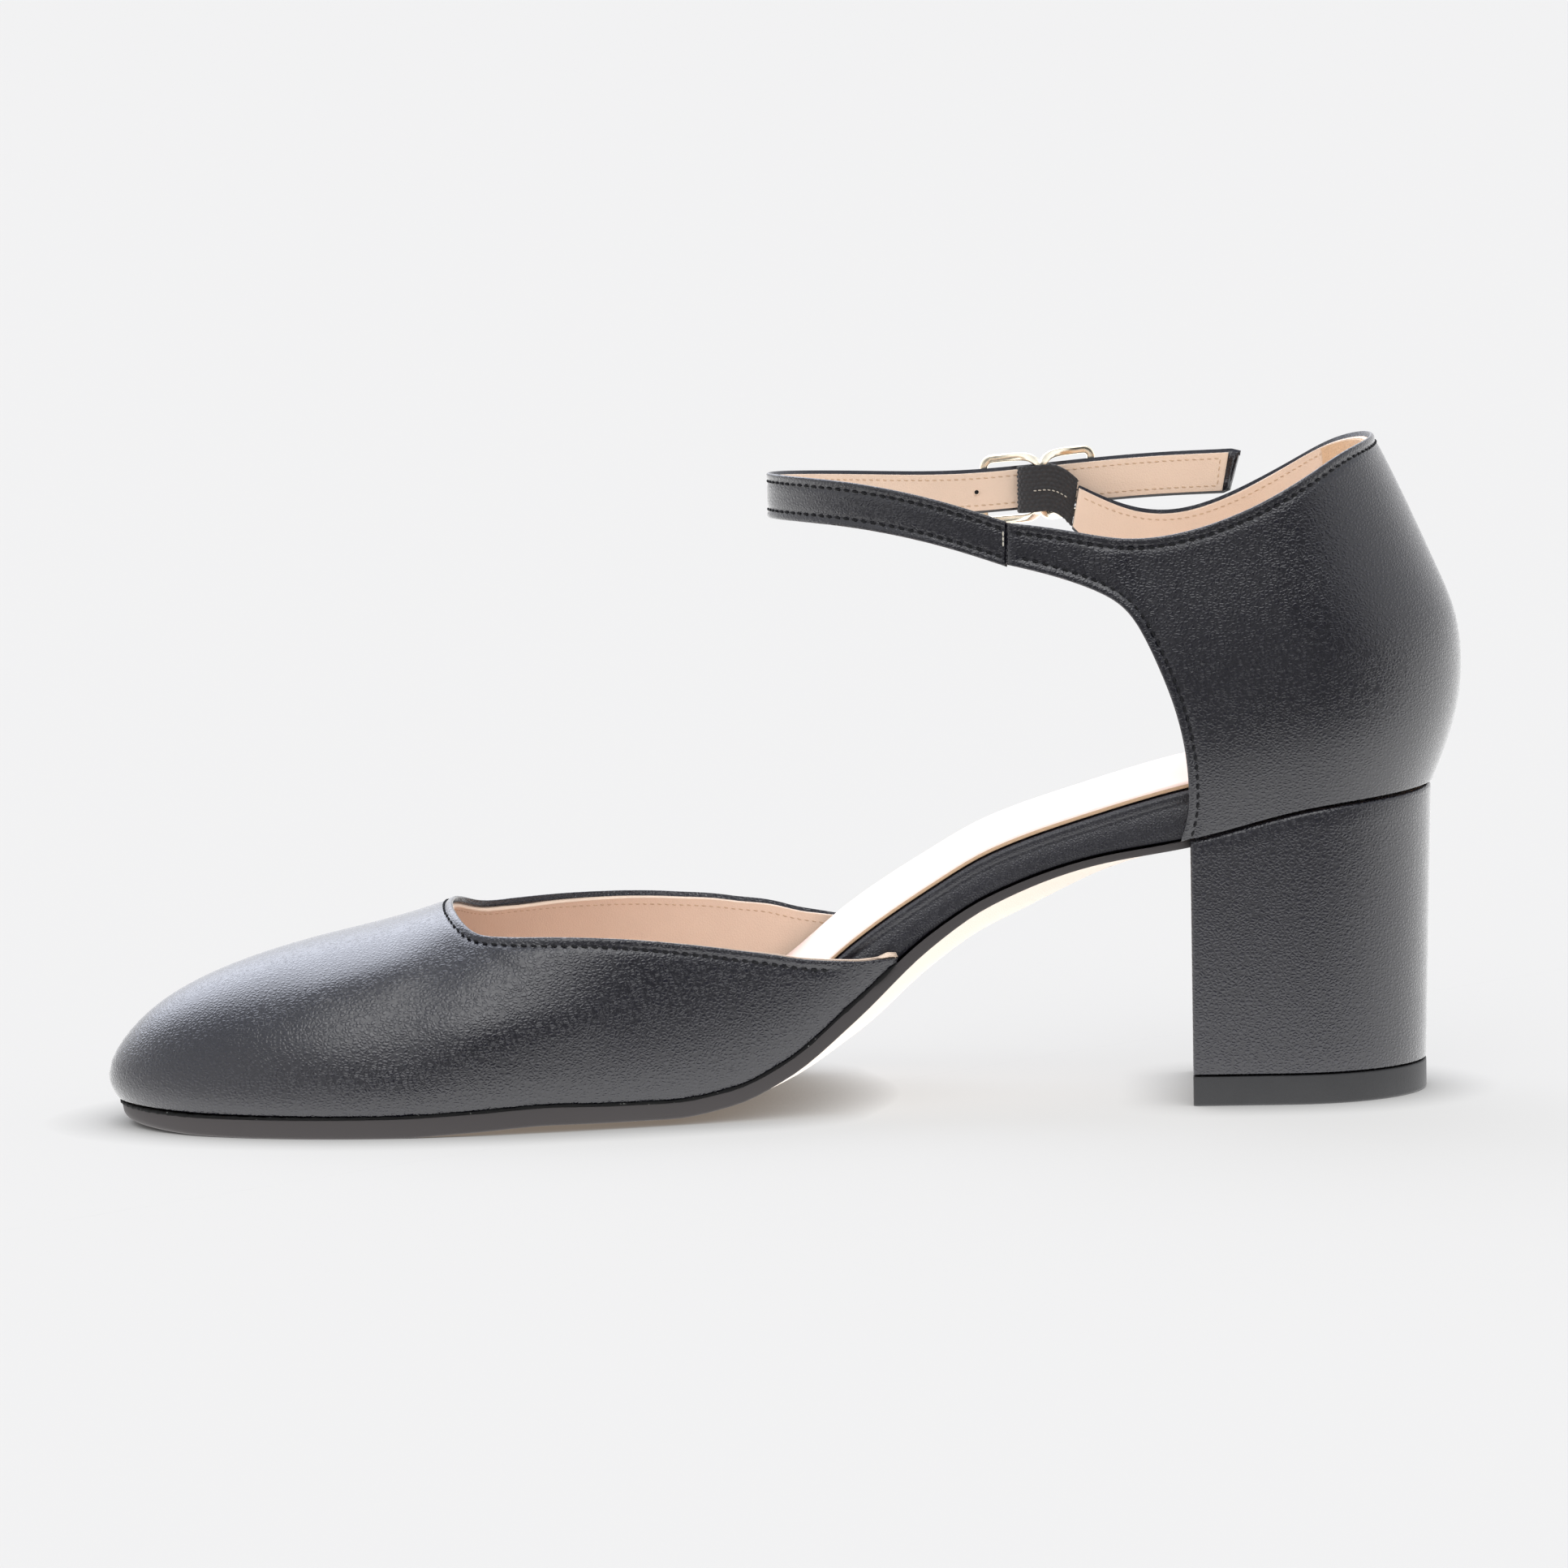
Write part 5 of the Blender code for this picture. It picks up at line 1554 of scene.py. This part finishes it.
class PUMP_OT_counter(bpy.types.Operator):
    """Builds the counter's leather, lining, heel grip and stitches"""

    bl_idname = "pump.counter"
    bl_label = "Heel counter"

    def execute(self, context):
        columns = counter_columns()
        sheet = Sheet(counter_surface, columns, -1)
        last = len(columns) - 1
        inset = mm("stitch_inset")
        outer = [sheet.edge_line(1, inset, 0.0, range(2, last - 2))]
        puffs = [sheet.edge_line(1, inset * PUFF_SHARE, 0.0, range(2, last - 2))]
        inner_inset = mm("lining_drop") + mm("lining_inset")
        inner = [sheet.edge_line(1, inner_inset, WALL, range(1, last - 1))]
        fronts = (range(2, FRONT_COLUMNS), range(last - FRONT_COLUMNS + 1, last - 2))
        for front in fronts:
            outer.append(sheet.edge_line(0, inset, 0.0, front))
            puffs.append(sheet.edge_line(0, inset * PUFF_SHARE, 0.0, front))
            inner.append(sheet.edge_line(0, inner_inset, WALL, front))
        drop = mm("lining_drop")
        creases = [(sheet.crease(MEDIAL, counter_place, rows), height, width)
                   for height, width, rows in COUNTER_CREASES]
        dress("heel_counter", sheet, outer, puffs, inner, lambda i: (FRONT_DROP, drop), creases)
        self.add_grip(sheet)
        return {"FINISHED"}

    def add_grip(self, sheet):
        """The suede patch inside the back of the counter."""
        middle = len(sheet.columns) // 2
        reach = round(BACK_COLUMNS * GRIP_SHARE)
        grip = Sheet(counter_surface, sheet.columns[middle - reach:middle + reach + 1], -1)
        drop = mm("lining_drop") + 0.1
        bm = grip.grid(lambda i: (drop, drop))
        for vertex in list(bm.verts):
            vertex.co -= vertex.normal * WALL * MM
        thicken(add_piece("heel_grip", bm, ["suede"]), GRIP_THICKNESS)


class PUMP_OT_strap(bpy.types.Operator):
    """Builds the ankle strap's leather, lining and stitches"""

    bl_idname = "pump.strap"
    bl_label = "Ankle strap"

    def execute(self, context):
        half = STRAP_WIDTH / 2
        inset = half - mm("strap_inset")
        tip = STRAP_END - STITCH_END_ROWS
        rows = [strap_stitch_line(0.0, tip, height, 0.0) for height in (-inset, inset)]
        rows.append(strap_stitch_end(tip, inset, 0.0))
        leather = strap_grid(-STRAP_ROOT, STRAP_END, half, 0.0)
        puffed = half - mm("strap_inset") * PUFF_SHARE
        puffs = [strap_stitch_line(0.0, tip, height, 0.0) for height in (-puffed, puffed)]
        press(leather, [(line, -mm("groove"), GROOVE_WIDTH) for line in rows]
              + [(line, mm("puff"), PUFF_WIDTH) for line in puffs])
        roll_edges(leather, mm("leather_roll"))
        piece = add_piece("strap_leather", leather, ["strap_leather"], "ankle_strap")
        thicken(piece, mm("leather"))
        lining_half = half - mm("lining_drop")
        lining = strap_grid(-STRAP_ROOT, STRAP_END - LINING_END_ROWS, lining_half, mm("leather"))
        piece = add_piece("strap_lining", lining, ["lining_leather"])
        thicken(piece, STRAP_THICKNESS - mm("leather"))
        stitch_rows(
            "strap_stitches", rows, mm("stitch_pitch"), mm("thread"), mm("groove") / 2, "black_thread")
        inner = lining_half - mm("lining_inset")
        tip = STRAP_END - LINING_STITCH_END_ROWS
        rows = [strap_stitch_line(0.0, tip, height, STRAP_THICKNESS) for height in (-inner, inner)]
        rows.append(strap_stitch_end(tip, inner, STRAP_THICKNESS))
        stitch_rows(
            "strap_lining_stitches", [turned(row) for row in rows], mm("lining_pitch"), LINING_THREAD,
            LINING_SINK, "lining_thread")
        self.add_tack()
        self.add_hole(strap_at(SPARE_HOLE_STATION))
        return {"FINISHED"}

    def add_tack(self):
        """The pale tack stitches that close the strap's root."""
        bm = bmesh.new()
        _, _, outward, up = strap_frame(0.0)
        for height in TACK_HEIGHTS:
            point = strap_point(0.0, height, -TACK_LIFT)
            add_stitch(bm, point, up, outward, TACK_HALF_LENGTH, TACK_RADIUS)
        add_piece("strap_tack", bm, ["tack_thread"])

    def add_hole(self, at):
        """A pierced hole on the strap's lining, with its lifted rim; the hole itself is a flat black disc of
        painted shade.
        """
        _, along, outward, up = strap_frame(at)
        middle = strap_point(at, 0.0, STRAP_THICKNESS + PIERCED_LIFT)
        turns = [2 * math.pi * i / ROUND_STEPS for i in range(ROUND_STEPS)]
        ring = [middle + (along * math.cos(a) + up * math.sin(a)) * PIERCED_RADIUS for a in turns]

        def rounded(share, angle):
            return PIERCED_RIM * math.cos(angle), PIERCED_RIM * math.sin(angle)

        rim = swept(ring, outward, rounded, True)
        add_piece("strap_hole_rim", rim, ["lining_leather"])
        # the hole is not cut: a flat black disc over the lining paints the shade inside it
        bm = bmesh.new()
        matrix = axes_at(middle, [bearing(axis) * PIERCED_RADIUS * MM for axis in (along, up, -outward)])
        bmesh.ops.create_circle(bm, cap_ends=True, segments=ROUND_STEPS, radius=1, matrix=matrix)
        add_piece("strap_hole", bm, ["black_thread"])


class PUMP_OT_elastic(bpy.types.Operator):
    """Builds the woven elastic that holds the buckle"""

    bl_idname = "pump.elastic"
    bl_label = "Elastic"

    def execute(self, context):
        bm = bmesh.new()
        bmesh.ops.create_grid(bm, x_segments=WEAVE_COLUMNS, y_segments=WEAVE_ROWS, size=1)
        shares = [((vertex.co.x + 1) / 2, (vertex.co.y + 1) / 2) for vertex in bm.verts]
        for vertex, (along, across) in zip(list(bm.verts), shares):
            vertex.co = place(elastic_surface(along, across))
        bm.normal_update()
        reach = ELASTIC_RUN / WEAVE_ALONG
        for vertex, (along, across) in zip(list(bm.verts), shares):
            rows_across = across * ELASTIC_WIDTH / WEAVE_ACROSS
            stagger = 0.5 * (int(rows_across) % 2)
            knot = math.sin(math.pi * rows_across) ** 2 * math.sin(math.pi * (along * reach + stagger)) ** 2
            vertex.co += vertex.normal * knot * WEAVE_RELIEF * MM
        piece = add_piece("elastic_weave", bm, ["elastic_weave"], "elastic_gore")
        thicken(piece, ELASTIC_THICKNESS)
        inwards = -strap_frame(strap_at(BUCKLE_STATION))[2]
        line = [(elastic_surface(share, ELASTIC_TACK_ACROSS) + inwards * ELASTIC_TACK_LIFT, inwards)
                for share in np.linspace(*ELASTIC_TACK_RUN, ROUND_STEPS + 1)]
        stitch_rows(
            "elastic_tack", [line], WEAVE_ALONG, ELASTIC_TACK_RADIUS, 0.0, "tack_thread")
        return {"FINISHED"}


class PUMP_OT_buckle(bpy.types.Operator):
    """Builds the buckle's frame and prong"""

    bl_idname = "pump.buckle"
    bl_label = "Buckle"

    def execute(self, context):
        outward = strap_frame(strap_at(BUCKLE_STATION))[2]
        loop = []
        straight = BUCKLE_HALF_LENGTH - BUCKLE_CORNER
        for side in (1, -1):
            reaches = [straight * (2 * i / RAIL_STEPS - 1) for i in range(RAIL_STEPS + 1)]
            loop += [rail_point(side * reach, side) for reach in reaches]
            for end in (1, -1):
                for i in range(1, CORNER_STEPS):
                    a = math.pi / 2 * (i / CORNER_STEPS if end == 1 else 1 - i / CORNER_STEPS)
                    loop.append(buckle_point(
                        side * (straight + BUCKLE_CORNER * math.sin(a)), END_BAR_DEPTH,
                        side * end * (BUCKLE_HALF_HEIGHT - BUCKLE_CORNER * (1 - math.cos(a)))))

        def flat(share, angle):
            across = math.copysign(abs(math.cos(angle)) ** 0.5, math.cos(angle))
            out = math.copysign(abs(math.sin(angle)) ** 0.5, math.sin(angle))
            return RAIL_HALF_WIDTH * across, RAIL_HALF_DEPTH * out

        rails = swept(loop, outward, flat, True)
        add_piece("buckle_rails", rails, ["gold_plate"], "buckle_frame")
        reach = BUCKLE_HALF_HEIGHT - BUCKLE_PINCH
        heights = [reach * (2 * i / BAR_STEPS - 1) for i in range(BAR_STEPS + 1)]
        bar = [buckle_point(0.0, CENTRE_BAR_DEPTH, height) for height in heights]
        add_piece("buckle_bar", swept(bar, outward, self.taper(BAR_WIRE), False), ["gold_plate"])
        line = Spline(numbered(PRONG_LINE))
        last = len(PRONG_LINE) - 1
        points = [buckle_point(*line(last * i / PRONG_STEPS), 0.0) for i in range(PRONG_STEPS + 1)]
        tip = swept(points, np.array([0.0, 0.0, 1.0]), self.taper(PRONG_WIRE), False)
        add_piece("buckle_tongue", tip, ["gold_plate"], "buckle_prong")
        return {"FINISHED"}

    def taper(self, radius):
        """A round section with round ends."""
        def section(share, angle):
            end = min(share, 1 - share) / BAR_END_SHARE
            size = radius * math.sqrt(max(0.0, 1 - max(0.0, 1 - end) ** 2))
            return size * math.cos(angle), size * math.sin(angle)

        return section


class PUMP_PT_panel(bpy.types.Panel):
    """Lists the pump's sizes, colours and pieces"""

    bl_idname = "PUMP_PT_panel"
    bl_label = "D'Orsay pump"
    bl_space_type = "VIEW_3D"
    bl_region_type = "UI"
    bl_category = "Pump"

    def draw(self, context):
        for group in (context.scene.pump_sizes, context.scene.pump_colours):
            box = self.layout.box()
            for name in group.__annotations__:
                box.prop(group, name)
        for operator in OPERATORS:
            self.layout.operator(operator.bl_idname)


OPERATORS = (
    PUMP_OT_stage, PUMP_OT_sole, PUMP_OT_heel, PUMP_OT_vamp, PUMP_OT_counter, PUMP_OT_strap, PUMP_OT_elastic,
    PUMP_OT_buckle,
)
CLASSES = (PumpSizes, PumpColours, *OPERATORS, PUMP_PT_panel)


def register():
    for cls in CLASSES:
        bpy.utils.register_class(cls)
    bpy.types.Scene.pump_sizes = bpy.props.PointerProperty(type=PumpSizes)
    bpy.types.Scene.pump_colours = bpy.props.PointerProperty(type=PumpColours)


def unregister():
    del bpy.types.Scene.pump_sizes
    del bpy.types.Scene.pump_colours
    for cls in reversed(CLASSES):
        bpy.utils.unregister_class(cls)


def main():
    register()
    bpy.ops.pump.stage()
    bpy.ops.pump.sole()
    bpy.ops.pump.heel()
    bpy.ops.pump.vamp()
    bpy.ops.pump.counter()
    bpy.ops.pump.strap()
    bpy.ops.pump.elastic()
    bpy.ops.pump.buckle()


if __name__ == "__main__":
    main()
